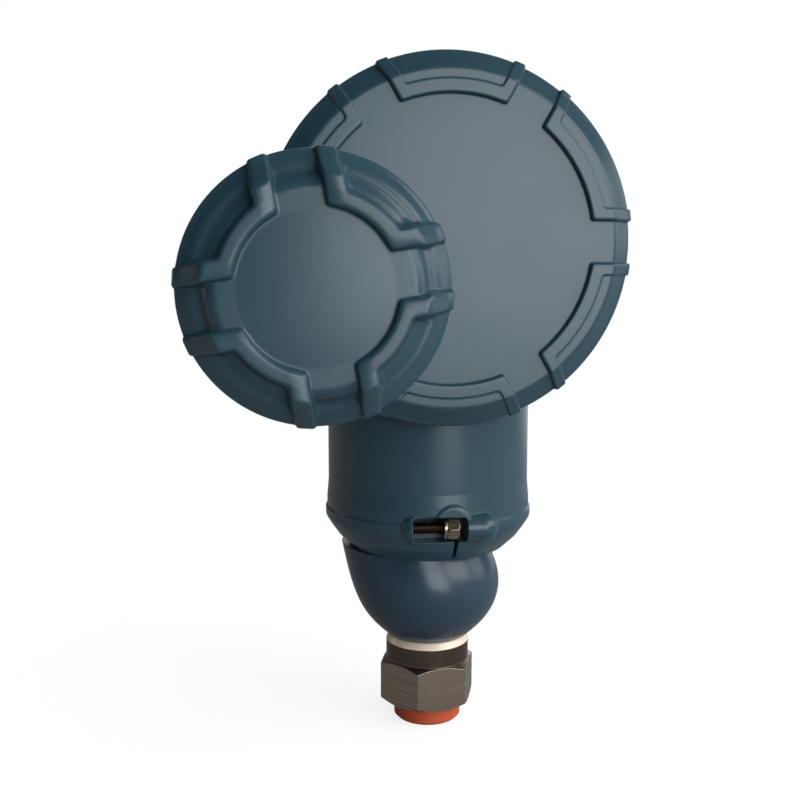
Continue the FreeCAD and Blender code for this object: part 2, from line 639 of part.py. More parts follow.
def housing():
    """Cast housing: clamped neck, main drum and the small drum that stands ahead of it.

    The small drum's cup overhangs the large cover, so a sweep round the main axis is
    cleared behind it and the two drums join in the crescent outside that sweep.
    """
    top = "(main_height - main_radius * 0.64)"
    neck = softened("soft_neck", turned("neck", (
        ("0", "neck_foot"), ("neck_radius - 7.2", "neck_foot"),
        ("neck_radius - 3.0", "neck_foot + 4.0"), ("neck_radius - 0.6", "neck_foot + 7.4"),
        ("band_radius", "band_base"), ("band_radius", "band_top"),
        ("band_radius - 0.5", "band_top + 0.7"), ("neck_radius + 0.5", "neck_flare - 6"),
        ("neck_radius", "neck_flare"), ("neck_radius", top), ("0", top))),
        "neck_soft", lambda edge: is_round(edge) and (
            amount("neck_foot + 1") < centre_of(edge).z < amount("band_base + 0.1") or
            amount("band_top + 1") < centre_of(edge).z < amount("neck_flare + 0.1")))
    main = softened("soft_main_drum", turned("main_drum", (
        ("0", "-main_back"), ("main_radius - 9", "-main_back"),
        ("main_radius - 3.2", "-main_back + 2.4"), ("main_radius", "-main_back + 8"),
        ("main_radius", "main_front"), ("0", "main_front")),
        z="main_height", axis="-Y"),
        "main_soft", lambda edge: is_round(edge) and centre_of(edge).y > 0)
    side = softened("soft_side_drum", turned("side_drum", (
        ("0", "-side_back"), ("side_radius - 6", "-side_back"),
        ("side_radius - 2", "-side_back + 1.8"), ("side_radius", "-side_back + 6"),
        ("side_radius", "side_front"), ("0", "side_front")),
        x="-side_left", z="side_height", axis="-Y"),
        "side_soft", lambda edge: is_round(edge) and centre_of(edge).y > 0)
    sweep = cylinder("cover_sweep", "sweep_radius", "cup_back - main_front",
                     y="-main_front", z="main_height", axis="-Y")
    left_boss = softened("soft_left_boss", cylinder(
        "left_boss", "entry_boss", "left_entry - side_left - 10",
        x="-side_left - 10", y="left_entry_back", z="side_height", axis="-X"),
        "boss_soft", lambda edge: centre_of(edge).x < -amount("left_entry - 1"))
    right_boss = softened("soft_right_boss", cylinder(
        "right_boss", "entry_boss", "right_entry - main_room + 8",
        x="main_room - 8", z="main_height", axis="X"),
        "boss_soft", lambda edge: centre_of(edge).x > amount("right_entry - 1"))
    earth_boss = softened("soft_earth_boss", cylinder(
        "earth_boss", "earth_boss", "earth_out - neck_radius + 6",
        y="neck_radius - 6", z="earth_height", axis="Y"),
        "boss_soft", lambda edge: centre_of(edge).y > amount("earth_out - 1"))
    added, removed = clamp_window()
    cleared = cut("cleared", fuse("neck_and_side_drum", neck, side), sweep)
    blank = fuse("housing_blank", cleared, main, left_boss, right_boss, earth_boss, *added)

    room = turned("main_room", (
        ("0", "-room_back"), ("main_room - 2", "-room_back"),
        ("main_room", "-room_back + 2"), ("main_room", "main_front - 14"),
        ("main_bore", "main_front - 12"), ("main_bore", "main_front + 1"),
        ("0", "main_front + 1")), z="main_height", axis="-Y")
    posts = body("posts", z="main_height", axis="-Y", turn=90.0)
    post = pad(posts, circles(posts, "post", (("post_circle", "0", "post_radius"),),
                              height="-room_back - 1"), "room_back + 1 + post_front")
    around(posts, post, "3")
    bores = body("post_bores", z="main_height", axis="-Y", turn=90.0)
    bore = pad(bores, circles(bores, "post_bore", (("post_circle", "0", "post_hole"),),
                              height="post_front - 9"), "10")
    around(bores, bore, "3")
    socket = turned("socket", (
        ("0", "neck_foot - 1"), ("stem_radius + turning_gap", "neck_foot - 1"),
        ("stem_radius + turning_gap", "socket_top"), ("way_radius", "socket_top + 4"),
        ("way_radius", "main_height - main_room + 8"),
        ("0", "main_height - main_room + 8")))
    cup = cylinder("cup", "side_bore", "side_front - side_floor + 1",
                   x="-side_left", y="-side_floor", z="side_height", axis="-Y")
    duct_blank = cylinder("duct_blank", "duct_reach", "duct_back + side_floor + 1",
                          x="-side_left", y="duct_back", z="side_height", axis="-Y")
    duct_core = cylinder("duct_core", "duct_radius", "duct_back + side_floor + 4",
                         y="duct_back + 1", z="main_height", axis="-Y")
    duct = cut("duct", duct_blank, duct_core)
    left_hole = cylinder("left_hole", "entry_radius", "entry_depth + 3",
                         x="-left_entry + entry_depth + 1", y="left_entry_back",
                         z="side_height", axis="-X")
    right_hole = cylinder("right_hole", "entry_radius", "right_entry - main_room + 9",
                          x="main_room - 8", z="main_height", axis="X")
    gland = cylinder("gland_hole", "gland_radius + seat_gap", "duct_radius - main_room + 6",
                     x="-duct_radius - 1", y="left_entry_back", z="side_height", axis="X")
    earth_hole = cylinder("earth_hole", "earth_screw + seat_gap", "6.5",
                          y="earth_out + 0.5", z="earth_height", axis="-Y")
    room_with_posts = cut("room_less_posts", room, posts)
    return cut("housing", blank, room_with_posts, bores, socket, cup, duct, left_hole,
               right_hole, gland, earth_hole, *removed)


def clamp_screw():
    """Hexagon-head screw across the window, its thread in the band's left side."""
    owner = body("clamp_screw", x="screw_seat", y="-screw_ahead", z="screw_height", axis="X")
    pad(owner, hexagon(owner, "clamp_head", "screw_flats", "0", "90"), "screw_head")
    revolve(owner, outline(owner, "head_bevel", (
        ("screw_flats / 2 - 0.1", "screw_head + 0.01"),
        ("screw_flats / sqrt(3)", "screw_head - 0.5"),
        ("screw_flats / sqrt(3) + 1", "screw_head - 0.5"),
        ("screw_flats / sqrt(3) + 1", "screw_head + 0.01"))), removed=True)
    length = "window_left + screw_seat + screw_grip"
    revolve(owner, outline(owner, "clamp_shank", (
        ("0", "1"), ("screw_radius", "1"), ("screw_radius", "-(%s) + 0.8" % length),
        ("screw_radius - 0.8", "-(%s)" % length), ("0", "-(%s)" % length))))
    return owner


def clamp_washer():
    """Plain washer held under the clamp screw's head."""
    inner = "screw_radius + seat_gap"
    return turned("clamp_washer", (
        (inner, "-washer_gauge"), ("washer_radius", "-washer_gauge"),
        ("washer_radius", "0"), (inner, "0")),
        x="screw_seat", y="-screw_ahead", z="screw_height", axis="X")


def screw(label, head, shank, grip, head_rise, x, y, z, axis, slot="0.8"):
    """Pan-head screw with a straight slot, its seat at the given point."""
    owner = body(label, x, y, z, axis)
    revolve(owner, outline(owner, label + "_section", (
        ("0", "-(%s)" % grip), (shank, "-(%s)" % grip), (shank, "0"), (head, "0"),
        (head, "%s * 0.6" % head_rise), ("%s * 0.75" % head, head_rise), ("0", head_rise))))
    pocket(owner, outline(owner, label + "_slot", (
        ("-(%s)" % head, "-%s / 2" % slot), (head, "-%s / 2" % slot),
        (head, "%s / 2" % slot), ("-(%s)" % head, "%s / 2" % slot)),
        "XY_Plane", head_rise), "%s * 0.45" % head_rise)
    return owner


def entry_plug():
    """Blanking plug in the right cable entry, with a hexagon socket in its face."""
    owner = body("entry_plug", x="right_entry", z="main_height", axis="X")
    revolve(owner, outline(owner, "plug_section", (
        ("0", "-entry_depth + 2"), ("entry_radius - 0.85", "-entry_depth + 2"),
        ("entry_radius - 0.05", "-entry_depth + 3"), ("entry_radius - 0.05", "-0.6"),
        ("entry_radius - 0.65", "0"), ("0", "0"))))
    pocket(owner, hexagon(owner, "plug_key", "9.5", "0"), "7")
    return owner


def wire_gland():
    """Sealed gland that carries the wires between the two compartments."""
    return cylinder("wire_gland", "gland_radius", "duct_radius - main_room + 2",
                    x="-duct_radius + 0.5", y="left_entry_back", z="side_height", axis="X")


# ---------------------------------------------------------------- covers

def cover(kind, disc, lug, recess_floor, skirt_bore, seat, x, z, turn):
    """Screwed cover: grip lugs cut from a turned ring, then the disc and its skirt.

    disc is the outer half-section from the centre of the face to the rim, and lug is the
    outer half-section of the lugs.  The gaps between lugs are parallel channels.  Each lug
    keeps an arc and two ribs of even width round an open recess, which goes down to
    recess_floor or, where that is None, to the disc.
    """
    owner = body(kind + "_cover", x, "0", z, "-Y", turn)
    inner = kind + "_lug_in"
    thread = skirt_bore + " - turning_gap"
    inside = "(%s - %s_skirt)" % (thread, kind)
    ceiling = "(%s_face - %s_shell)" % (kind, kind)
    floor = ceiling + " + 0.5"
    revolve(owner, outline(owner, kind + "_lug_ring",
                           ((inner, floor), (inner, kind + "_lug_top")) + lug +
                           ((inside + " + 0.5", seat + " + 1"), (inside + " + 0.5", floor))))
    half = "180 / %s_lugs" % kind
    strip = "(%s_channel / 2 + %s_rib)" % (kind, kind)
    far = "(3 * %s_radius)" % kind
    foot = "%s / tan(%s)" % (strip, half)
    recess = pocket(owner, outline(owner, kind + "_recess", (
        (foot, strip), (foot + " + " + far, strip),
        ("%s + %s * cos(2 * %s)" % (foot, far, half),
         "%s + %s * sin(2 * %s)" % (strip, far, half))),
        "XY_Plane", kind + "_lug_top + 1"), kind + "_lug_top")
    around(owner, recess, kind + "_lugs")
    revolve(owner, outline(owner, kind + "_lug_arc", (
        (inner, floor), ("%s + %s_arc" % (inner, kind), floor),
        ("%s + %s_arc" % (inner, kind), kind + "_lug_top"), (inner, kind + "_lug_top"))))
    if recess_floor:
        revolve(owner, outline(owner, kind + "_recess_floor", (
            (inside + " + 0.5", floor), (inner + " + 1", floor)) + recess_floor +
            ((inside + " + 0.5", seat + " + 1"),)))
    channel = pocket(owner, outline(owner, kind + "_gap", (
        ("1", "-%s_channel / 2" % kind), (far, "-%s_channel / 2" % kind),
        (far, "%s_channel / 2" % kind), ("1", "%s_channel / 2" % kind)),
        "XY_Plane", kind + "_lug_top + 1"), kind + "_lug_top")
    around(owner, channel, kind + "_lugs")
    root = "(%s - ring_groove)" % thread
    tip = "(%s - %s_thread)" % (seat, kind)
    revolve(owner, outline(owner, kind + "_disc", disc + (
        (root, seat), (root, seat + " - ring_groove"), (thread, seat + " - ring_groove"),
        (thread, tip + " + 0.6"), (thread + " - 0.6", tip), (inside, tip),
        (inside, ceiling + " - 1.5"), (inside + " - 1.5", ceiling), ("0", ceiling))))
    return owner


def large_cover():
    """Blind cover of the electronics compartment, six shallow lugs."""
    outer = "large_radius + large_proud"
    return cover(
        "large",
        (("0", "large_face"), ("large_edge", "large_face"),
         ("large_radius", "large_bevel"), ("large_radius", "main_front")),
        (("large_edge", "large_lug_top"), (outer, "large_bevel + 1.3"),
         (outer, "main_front + 1")),
        (("large_lug_in + 1", "large_lug_top - large_recess"),
         ("large_edge", "large_lug_top - large_recess"),
         ("large_radius + 0.1", "large_bevel + 0.8"), ("large_radius + 0.1", "main_front + 1")),
        "main_bore", "main_front", "0", "main_height", 0.0)


def small_cover():
    """Blind cover of the terminal compartment, four bold lugs over a stepped edge."""
    outer = "small_radius + small_proud"
    return cover(
        "small",
        (("0", "small_face"), ("small_edge", "small_face"),
         ("small_step - 1", "small_face - 1.5"), ("small_step", "small_shelf + 0.6"),
         ("small_shelf_out", "small_shelf"), ("small_radius", "small_bevel"),
         ("small_radius", "side_front")),
        (("small_step", "small_lug_top"), (outer, "small_bevel + 1.6"),
         (outer, "side_front + 1")),
        None,
        "side_bore", "side_front", "-side_left", "side_height", amount("small_turn"))


def cover_seal(kind, bore, seat, x, z):
    """Rubber ring in the groove behind a cover's rim."""
    return ring(kind + "_cover_seal",
                "%s - turning_gap - ring_groove + 0.2 + ring_section" % bore,
                "ring_section", x, "-(%s - ring_groove / 2)" % seat, z, "-Y")


# ---------------------------------------------------------------- electronics

def round_plate(label, radius, gauge, front, holes, bosses=None):
    """Disc in the main drum with the three post holes."""
    owner = body(label, z="main_height", axis="-Y", turn=90.0)
    pad(owner, circles(owner, label + "_disc", (("0", "0", radius),), height=front), gauge)
    if bosses:
        bosses(owner)
    hole = pocket(owner, circles(owner, label + "_hole", (("post_circle", "0", holes),),
                                 height="%s - 1" % front), "%s + 2" % gauge, forward=True)
    around(owner, hole, "3")
    return owner


def main_board():
    """Main circuit board on the three posts."""
    return round_plate("main_board", "board_radius", "board_gauge", "post_front",
                       "post_hole + 0.2")


def electronics_hood():
    """Black moulded hood over the main board."""
    seat = "post_front + board_gauge"

    def dome(owner):
        """Cup of the hood, hollow towards the board."""
        top = seat + " + hood_rise"
        revolve(owner, outline(owner, "hood_cup", (
            ("0", seat), ("hood_radius", seat), ("hood_radius", top + " - 2"),
            ("hood_radius - 2", top), ("0", top))))
        revolve(owner, outline(owner, "hood_inside", (
            ("0", seat + " - 1"), ("hood_radius - hood_wall", seat + " - 1"),
            ("hood_radius - hood_wall", top + " - 4"),
            ("hood_radius - hood_wall - 2", top + " - hood_wall"),
            ("0", top + " - hood_wall"))), removed=True)

    return round_plate("electronics_hood", "board_radius", "hood_flange", seat,
                       "post_hole + 0.2", dome)


def board_screws():
    """Three screws through hood and board into the posts."""
    made = []
    for number, angle in enumerate((90, 210, 330), start=1):
        made.append(screw(
            "board_screw_%d" % number, "board_head", "board_screw", "9", "2.0",
            "post_circle * cos(%d)" % angle,
            "-(post_front + board_gauge + hood_flange)",
            "main_height + post_circle * sin(%d)" % angle, "-Y"))
    return made


def sockets():
    """Cable sockets on the module cap and on the back of the main board."""
    lower = box("module_socket", "socket_wide", "socket_deep", "socket_rise",
                "-socket_wide / 2", "ribbon_back - socket_deep / 2", "stem_top")
    upper = box("board_socket", "socket_wide", "socket_deep", "socket_rise",
                "-socket_wide / 2", "-post_front", "main_height - socket_drop")
    return lower, upper


def ribbon_cable():
    """Flat cable from the module's socket to the socket on the main board."""
    owner = body("ribbon_cable")
    low = "(stem_top + socket_rise + turning_gap)"
    top = "(main_height - socket_drop)"
    near = "(-post_front + socket_deep / 2)"
    corners = []
    for sign in ("-", "+"):
        edge = " %s ribbon_gauge / 2" % sign
        run = [("ribbon_back" + edge, low),
               ("ribbon_back" + edge, "%s + ribbon_rise * (%s - %s)" % (low, top, low)),
               (near + edge, "%s - ribbon_drop * (%s - %s)" % (top, top, low)),
               (near + edge, top)]
        corners += run if sign == "-" else run[::-1]
    pad(owner, outline(owner, "ribbon_run", corners, "YZ_Plane"), "ribbon_wide", both=True)
    return owner


# ---------------------------------------------------------------- terminals

def terminal_block():
    """Moulded block with barriers between three terminals and two fixing holes."""
    owner = body("terminal_block", "-side_left", "0", "side_height", "-Y")
    top = "side_floor + block_gauge"
    pad(owner, circles(owner, "block_disc", (("0", "0", "block_radius"),),
                       height="side_floor"), "block_gauge")
    for number, shift in enumerate(("-1.5", "-0.5", "0.5", "1.5"), start=1):
        middle = "%s * terminal_pitch" % shift
        pad(owner, outline(owner, "barrier_%d" % number, (
            (middle + " - barrier_gauge / 2", "-barrier_length / 2"),
            (middle + " + barrier_gauge / 2", "-barrier_length / 2"),
            (middle + " + barrier_gauge / 2", "barrier_length / 2"),
            (middle + " - barrier_gauge / 2", "barrier_length / 2")),
            "XY_Plane", top + " - 0.5"), "barrier_rise + 0.5")
    pocket(owner, circles(owner, "terminal_holes", (
        ("-terminal_pitch", "0", "terminal_shank + 0.1"),
        ("0", "0", "terminal_shank + 0.1"),
        ("terminal_pitch", "0", "terminal_shank + 0.1")),
        height="side_floor + 1.2"), "block_gauge", forward=True)
    pocket(owner, circles(owner, "fixing_holes", (
        ("0", "fixing_offset", "terminal_shank + 0.1"),
        ("0", "-fixing_offset", "terminal_shank + 0.1")),
        height="side_floor - 1"), "block_gauge + 2", forward=True)
    pocket(owner, outline(owner, "wire_notch", (
        ("-block_radius - 1", "-block_radius"), ("-notch_offset", "-block_radius"),
        ("-notch_offset", "block_radius"), ("-block_radius - 1", "block_radius")),
        "XY_Plane", "side_floor - 1"), "block_gauge + barrier_rise + 2", forward=True)
    return owner


def terminal_hardware():
    """Screws and square wire clamps of the three terminals, and the fixing screws."""
    made = []
    top = "side_floor + block_gauge"
    for number, shift in enumerate(("-1", "0", "1"), start=1):
        x = "-side_left + %s * terminal_pitch" % shift
        clamp = cut(
            "wire_clamp_%d" % number,
            box("clamp_plate_%d" % number, "clamp_side", "clamp_gauge", "clamp_side",
                x + " - clamp_side / 2", "-(%s) - clamp_gauge" % top,
                "side_height - clamp_side / 2"),
            cylinder("clamp_hole_%d" % number, "terminal_shank + 0.1", "clamp_gauge + 2",
                     x, "-(%s) + 1" % top, "side_height", "-Y"))
        made.append(clamp)
        made.append(screw("terminal_screw_%d" % number, "terminal_head", "terminal_shank",
                          "block_gauge + clamp_gauge - 1.5", "2.2", x,
                          "-(%s) - clamp_gauge" % top, "side_height", "-Y"))
    for number, sign in enumerate(("+", "-"), start=1):
        made.append(screw("block_screw_%d" % number, "terminal_head", "terminal_shank",
                          "block_gauge", "2.0", "-side_left", "-(%s)" % top,
                          "side_height %s fixing_offset" % sign, "-Y"))
    return made


def earth_screw():
    """External earth screw on the back of the neck."""
    return screw("earth_screw", "earth_head", "earth_screw", "6", "2.6", "0",
                 "earth_out + 1", "earth_height", "Y", "1.0")


def earth_washer():
    """Cup washer under the earth screw."""
    return turned("earth_washer", (
        ("earth_screw + seat_gap", "0"), ("earth_boss - 0.6", "0"),
        ("earth_boss - 0.6", "1"), ("earth_screw + seat_gap", "1")),
        y="earth_out", z="earth_height", axis="Y")


# ---------------------------------------------------------------- build and write

def check_objects():
    """Stop if the last recompute left anything failed."""
    for thing in DOC.Objects:
        if "Invalid" in thing.State or "Error" in thing.State:
            raise RuntimeError("%s did not compute: %s" % (thing.Label, thing.State))


def write(nodes):
    """Check each sub-part and write its STEP file."""
    os.makedirs("parts", exist_ok=True)
    for node in nodes:
        shape = node.Shape
        if shape.isNull() or not shape.isValid() or not shape.Solids:
            raise RuntimeError("%s has no valid solid" % node.Label)
    for node in nodes:
        node.Shape.exportStep("parts/%s.step" % node.Label)
        print("%-22s %d solid(s) %10.1f mm3" % (node.Label, len(node.Shape.Solids),
                                                node.Shape.Volume))


def main():
    """Build every sub-part, recompute the document and write the files."""
    fill_sheet()
    nodes = [process_connection(), isolating_membrane(), port_plug(), module_body(),
             sensor_cell(), sensor_header(), fill_tube(), sensor_board(), module_cap(),
             neck_seal(), housing(), clamp_screw(), clamp_washer(), entry_plug(),
             wire_gland(), large_cover(), small_cover(),
             cover_seal("large", "main_bore", "main_front", "0", "main_height"),
             cover_seal("small", "side_bore", "side_front", "-side_left", "side_height"),
             main_board(), electronics_hood(), *board_screws(), *sockets(),
             ribbon_cable(), terminal_block(), *terminal_hardware(), earth_screw(),
             earth_washer()]
    DOC.recompute()
    check_objects()
    write(nodes)


main()
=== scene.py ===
"""Looks of a pressure transmitter: painted housing, screwed covers, steel port and plug.

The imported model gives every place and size.  The classes below add the cast covers with
their grip lugs and threads, the small screws, the threads of port and entry and the parts
on the board, and dress every piece.  Sizes in the classes are millimetres, meshes metres.
"""
from __future__ import annotations

import functools
import json
import logging
import math
from dataclasses import dataclass
from enum import Enum

import bmesh
import bpy
import numpy as np
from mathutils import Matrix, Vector


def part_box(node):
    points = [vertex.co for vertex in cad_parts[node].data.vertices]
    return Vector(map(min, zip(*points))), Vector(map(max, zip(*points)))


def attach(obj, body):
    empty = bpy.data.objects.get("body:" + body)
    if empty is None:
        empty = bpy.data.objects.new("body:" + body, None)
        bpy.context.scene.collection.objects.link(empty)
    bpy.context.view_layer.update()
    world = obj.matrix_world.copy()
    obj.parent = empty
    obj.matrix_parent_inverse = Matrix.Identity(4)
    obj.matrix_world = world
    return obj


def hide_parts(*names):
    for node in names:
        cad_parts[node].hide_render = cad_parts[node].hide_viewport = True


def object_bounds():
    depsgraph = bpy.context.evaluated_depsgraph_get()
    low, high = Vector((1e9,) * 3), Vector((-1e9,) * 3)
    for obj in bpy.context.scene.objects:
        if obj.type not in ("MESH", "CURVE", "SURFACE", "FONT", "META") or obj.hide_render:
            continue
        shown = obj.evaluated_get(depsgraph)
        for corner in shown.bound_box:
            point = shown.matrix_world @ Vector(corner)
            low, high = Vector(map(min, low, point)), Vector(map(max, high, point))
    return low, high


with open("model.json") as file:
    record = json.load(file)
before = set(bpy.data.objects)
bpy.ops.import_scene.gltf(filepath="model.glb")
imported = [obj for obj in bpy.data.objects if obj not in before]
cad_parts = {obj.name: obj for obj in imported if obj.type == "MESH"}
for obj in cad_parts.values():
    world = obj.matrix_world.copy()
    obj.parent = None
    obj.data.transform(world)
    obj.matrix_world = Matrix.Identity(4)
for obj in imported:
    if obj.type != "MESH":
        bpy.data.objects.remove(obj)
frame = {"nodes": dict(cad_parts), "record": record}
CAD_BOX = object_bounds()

LOG = logging.getLogger("pressure_transmitter")
MM = 0.001
PER_METRE = 1000.0
TURN = 2.0 * math.pi
QUARTER = TURN / 4.0
SAME_SPOT = 1e-7

WHITE = (1.0, 1.0, 1.0, 1.0)

Colour = tuple[float, float, float]
Profile = list[tuple[float, float]]


class Slot(Enum):
    """Material slots of the record."""

    HOUSING = "housing_paint"
    MODULE = "module_paint"
    STEEL = "steel"
    ORANGE = "orange_plastic"
    RUBBER = "rubber"
    BOARD = "circuit_board"
    BLACK = "black_plastic"
    RIBBON = "ribbon"
    PLATED = "plated_steel"
    BRASS = "brass"


class Body(Enum):
    """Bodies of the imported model."""

    MODULE = "module"
    HOUSING = "turning_housing"
    LARGE_CAP = "large_cap"
    SMALL_CAP = "small_cap"


# ---------------------------------------------------------------- shader graphs

class Graph:
    """A node tree with short calls for the nodes that the finishes use."""

    def __init__(self, tree: bpy.types.NodeTree) -> None:
        """Keep the tree to add nodes to."""
        self.tree = tree

    def node(self, kind: str, **settings: object) -> bpy.types.Node:
        """Add one node and set its plain properties.

        Args:
            kind: type name of the node.
            settings: properties of the node.

        Returns:
            The new node.
        """
        made = self.tree.nodes.new(kind)
        for name, value in settings.items():
            setattr(made, name, value)
        return made

    def feed(self, socket: bpy.types.NodeSocket, value: object) -> None:
        """Link an output to a socket, or set the socket to a plain value."""
        if isinstance(value, bpy.types.NodeSocket):
            self.tree.links.new(value, socket)
        elif value is not None:
            socket.default_value = value

    def wired(self, kind: str, sockets: dict[str | int, object],
              **settings: object) -> bpy.types.Node:
        """Add one node, set its plain properties and feed its sockets."""
        made = self.node(kind, **settings)
        for key, value in sockets.items():
            self.feed(made.inputs[key], value)
        return made

    def maths(self, operation: str, a: object, b: object = None,
              clamp: bool = False) -> bpy.types.NodeSocket:
        """Add a Math node.

        Args:
            operation: name of the operation.
            a: first value or output.
            b: second value or output.
            clamp: keep the result between 0 and 1.

        Returns:
            The node's output.
        """
        return self.wired("ShaderNodeMath", {0: a, 1: b}, operation=operation,
                          use_clamp=clamp).outputs[0]

    def product(self, *values: object) -> bpy.types.NodeSocket:
        """Multiply two or more values."""
        result = values[0]
        for value in values[1:]:
            result = self.maths("MULTIPLY", result, value)
        return result

    def split(self, vector: object) -> bpy.types.NodeOutputs:
        """Take a vector apart into X, Y and Z."""
        return self.wired("ShaderNodeSeparateXYZ", {0: vector}).outputs

    def vector(self, x: object = 0.0, y: object = 0.0,
               z: object = 0.0) -> bpy.types.NodeSocket:
        """Combine three values."""
        return self.wired("ShaderNodeCombineXYZ", {0: x, 1: y, 2: z}).outputs[0]

    def ramp(self, value: object, low: float, high: float,
             to_low: float = 0.0, to_high: float = 1.0) -> bpy.types.NodeSocket:
        """Spread a value smoothly between two limits.

        Args:
            value: the output to spread.
            low: value that gives to_low.
            high: value that gives to_high.
            to_low: result at low.
            to_high: result at high.

        Returns:
            The spread value.
        """
        return self.wired("ShaderNodeMapRange", {
            "Value": value, "From Min": low, "From Max": high, "To Min": to_low,
            "To Max": to_high}, interpolation_type="SMOOTHSTEP").outputs["Result"]

    def blend(self, factor: object, a: object, b: object) -> bpy.types.NodeSocket:
        """Mix two colours.

        Args:
            factor: share of the second colour.
            a: first colour or output.
            b: second colour or output.

        Returns:
            The mixed colour.
        """
        factor_at, first_at, second_at, result_at = 0, 6, 7, 2
        return self.wired("ShaderNodeMix", {factor_at: factor, first_at: a, second_at: b},
                          data_type="RGBA").outputs[result_at]

    def noise(self, where: bpy.types.NodeSocket, scale: object, detail: float = 2.0,
              roughness: float = 0.5) -> bpy.types.NodeSocket:
        """Add a noise texture and return its factor."""
        return self.wired("ShaderNodeTexNoise", {
            "Vector": where, "Scale": scale, "Detail": detail,
            "Roughness": roughness}).outputs["Fac"]

    def alike(self, first: object, second: object) -> bpy.types.NodeSocket:
        """Dot product of two directions."""
        return self.wired("ShaderNodeVectorMath", {0: first, 1: second},
                          operation="DOT_PRODUCT").outputs["Value"]


def rgba(colour: Colour) -> tuple[float, float, float, float]:
    """Add the alpha value that colour sockets want."""
    return (*colour, 1.0)


class Effects:
    """Shader node groups that several finishes share, each made once."""

    @staticmethod
    def start(name: str, inputs: dict[str, float],
              outputs: dict[str, str]) -> tuple[Graph, bpy.types.Node, bpy.types.Node]:
        """Open a new group tree with its sockets.

        Args:
            name: name of the group.
            inputs: names and first values of the number inputs.
            outputs: names and socket types of the outputs.

        Returns:
            The graph, the group's input node and its output node.
        """
        tree = bpy.data.node_groups.new(name, "ShaderNodeTree")
        tree.interface.new_socket("Position", in_out="INPUT",
                                  socket_type="NodeSocketVector")
        for label, value in inputs.items():
            socket = tree.interface.new_socket(label, in_out="INPUT",
                                               socket_type="NodeSocketFloat")
            socket.default_value = value
        for label, kind in outputs.items():
            tree.interface.new_socket(label, in_out="OUTPUT", socket_type=kind)
        graph = Graph(tree)
        return graph, graph.node("NodeGroupInput"), graph.node("NodeGroupOutput")

    @staticmethod
    @functools.cache
    def orange_peel() -> bpy.types.NodeTree:
        """Height of sprayed paint: broad peel and fine grit, sized in millimetres."""
        graph, given, result = Effects.start(
            "orange_peel", {"Peel Size": 1.6, "Grit Share": 0.35},
            {"Height": "NodeSocketFloat"})
        finer = 4.5
        per_size = graph.maths("DIVIDE", PER_METRE, given.outputs["Peel Size"])
        broad = graph.noise(given.outputs["Position"], per_size, 2.0, 0.45)
        fine = graph.noise(given.outputs["Position"], graph.product(per_size, finer), 1.0)
        graph.feed(result.inputs["Height"], graph.maths(
            "ADD", broad, graph.product(fine, given.outputs["Grit Share"])))
        return graph.tree

    @staticmethod
    @functools.cache
    def edges() -> bpy.types.NodeTree:
        """Mask of outer edges and the normal of a small round on every edge."""
        graph, given, result = Effects.start(
            "edges", {"Radius": 0.0005, "Sharpness": 6.0},
            {"Mask": "NodeSocketFloat", "Normal": "NodeSocketVector"})
        bevel = graph.wired("ShaderNodeBevel", {"Radius": given.outputs["Radius"]},
                            samples=6)
        shape = graph.node("ShaderNodeNewGeometry")
        away = graph.maths("SUBTRACT", 1.0, graph.alike(bevel.outputs["Normal"],
                                                        shape.outputs["Normal"]))
        graph.feed(result.inputs["Mask"],
                   graph.maths("MULTIPLY", away, given.outputs["Sharpness"], clamp=True))
        graph.feed(result.inputs["Normal"], bevel.outputs["Normal"])
        return graph.tree

    @staticmethod
    @functools.cache
    def drift() -> bpy.types.NodeTree:
        """Slow change of colour over a surface, with a little fine cloud in it."""
        graph, given, result = Effects.start(
            "drift", {"Patch Size": 30.0, "Cloud Share": 0.3},
            {"Factor": "NodeSocketFloat"})
        finer, least, most = 3.5, -0.25, 1.25
        per_size = graph.maths("DIVIDE", PER_METRE, given.outputs["Patch Size"])
        patches = graph.noise(given.outputs["Position"], per_size, 1.0)
        clouds = graph.noise(given.outputs["Position"], graph.product(per_size, finer), 1.0)
        mixed = graph.maths("ADD", patches, graph.product(
            graph.maths("SUBTRACT", clouds, 0.5), given.outputs["Cloud Share"]))
        graph.feed(result.inputs["Factor"], graph.ramp(mixed, least, most))
        return graph.tree

    @staticmethod
    @functools.cache
    def lathe_lines() -> bpy.types.NodeTree:
        """Fine lines as a tool leaves them: level on walls, round the Z axis on flats."""
        graph, given, result = Effects.start(
            "lathe_lines", {"Pitch": 0.25}, {"Height": "NodeSocketFloat",
                                             "Shade": "NodeSocketFloat"})
        along, wider, fine_share, level = 0.012, 0.25, 0.6, (0.55, 0.75)
        x, y, z = graph.split(given.outputs["Position"])
        out = graph.maths("SQRT", graph.maths("ADD", graph.product(x, x),
                                              graph.product(y, y)))
        _, _, facing = graph.split(graph.node("ShaderNodeNewGeometry").outputs["Normal"])
        flat = graph.ramp(graph.maths("ABSOLUTE", facing), *level)
        across = graph.wired("ShaderNodeMix", {0: flat, 2: z, 3: out}, data_type="FLOAT")
        joined = graph.vector(graph.product(x, along), graph.product(y, along),
                              across.outputs[0])
        scale = graph.maths("DIVIDE", PER_METRE, given.outputs["Pitch"])
        fine = graph.noise(joined, scale, roughness=0.6)
        wide = graph.noise(joined, graph.product(scale, wider))
        graph.feed(result.inputs["Height"], fine)
        graph.feed(result.inputs["Shade"], graph.maths(
            "ADD", graph.product(fine, fine_share), graph.product(wide, 1.0 - fine_share)))
        return graph.tree


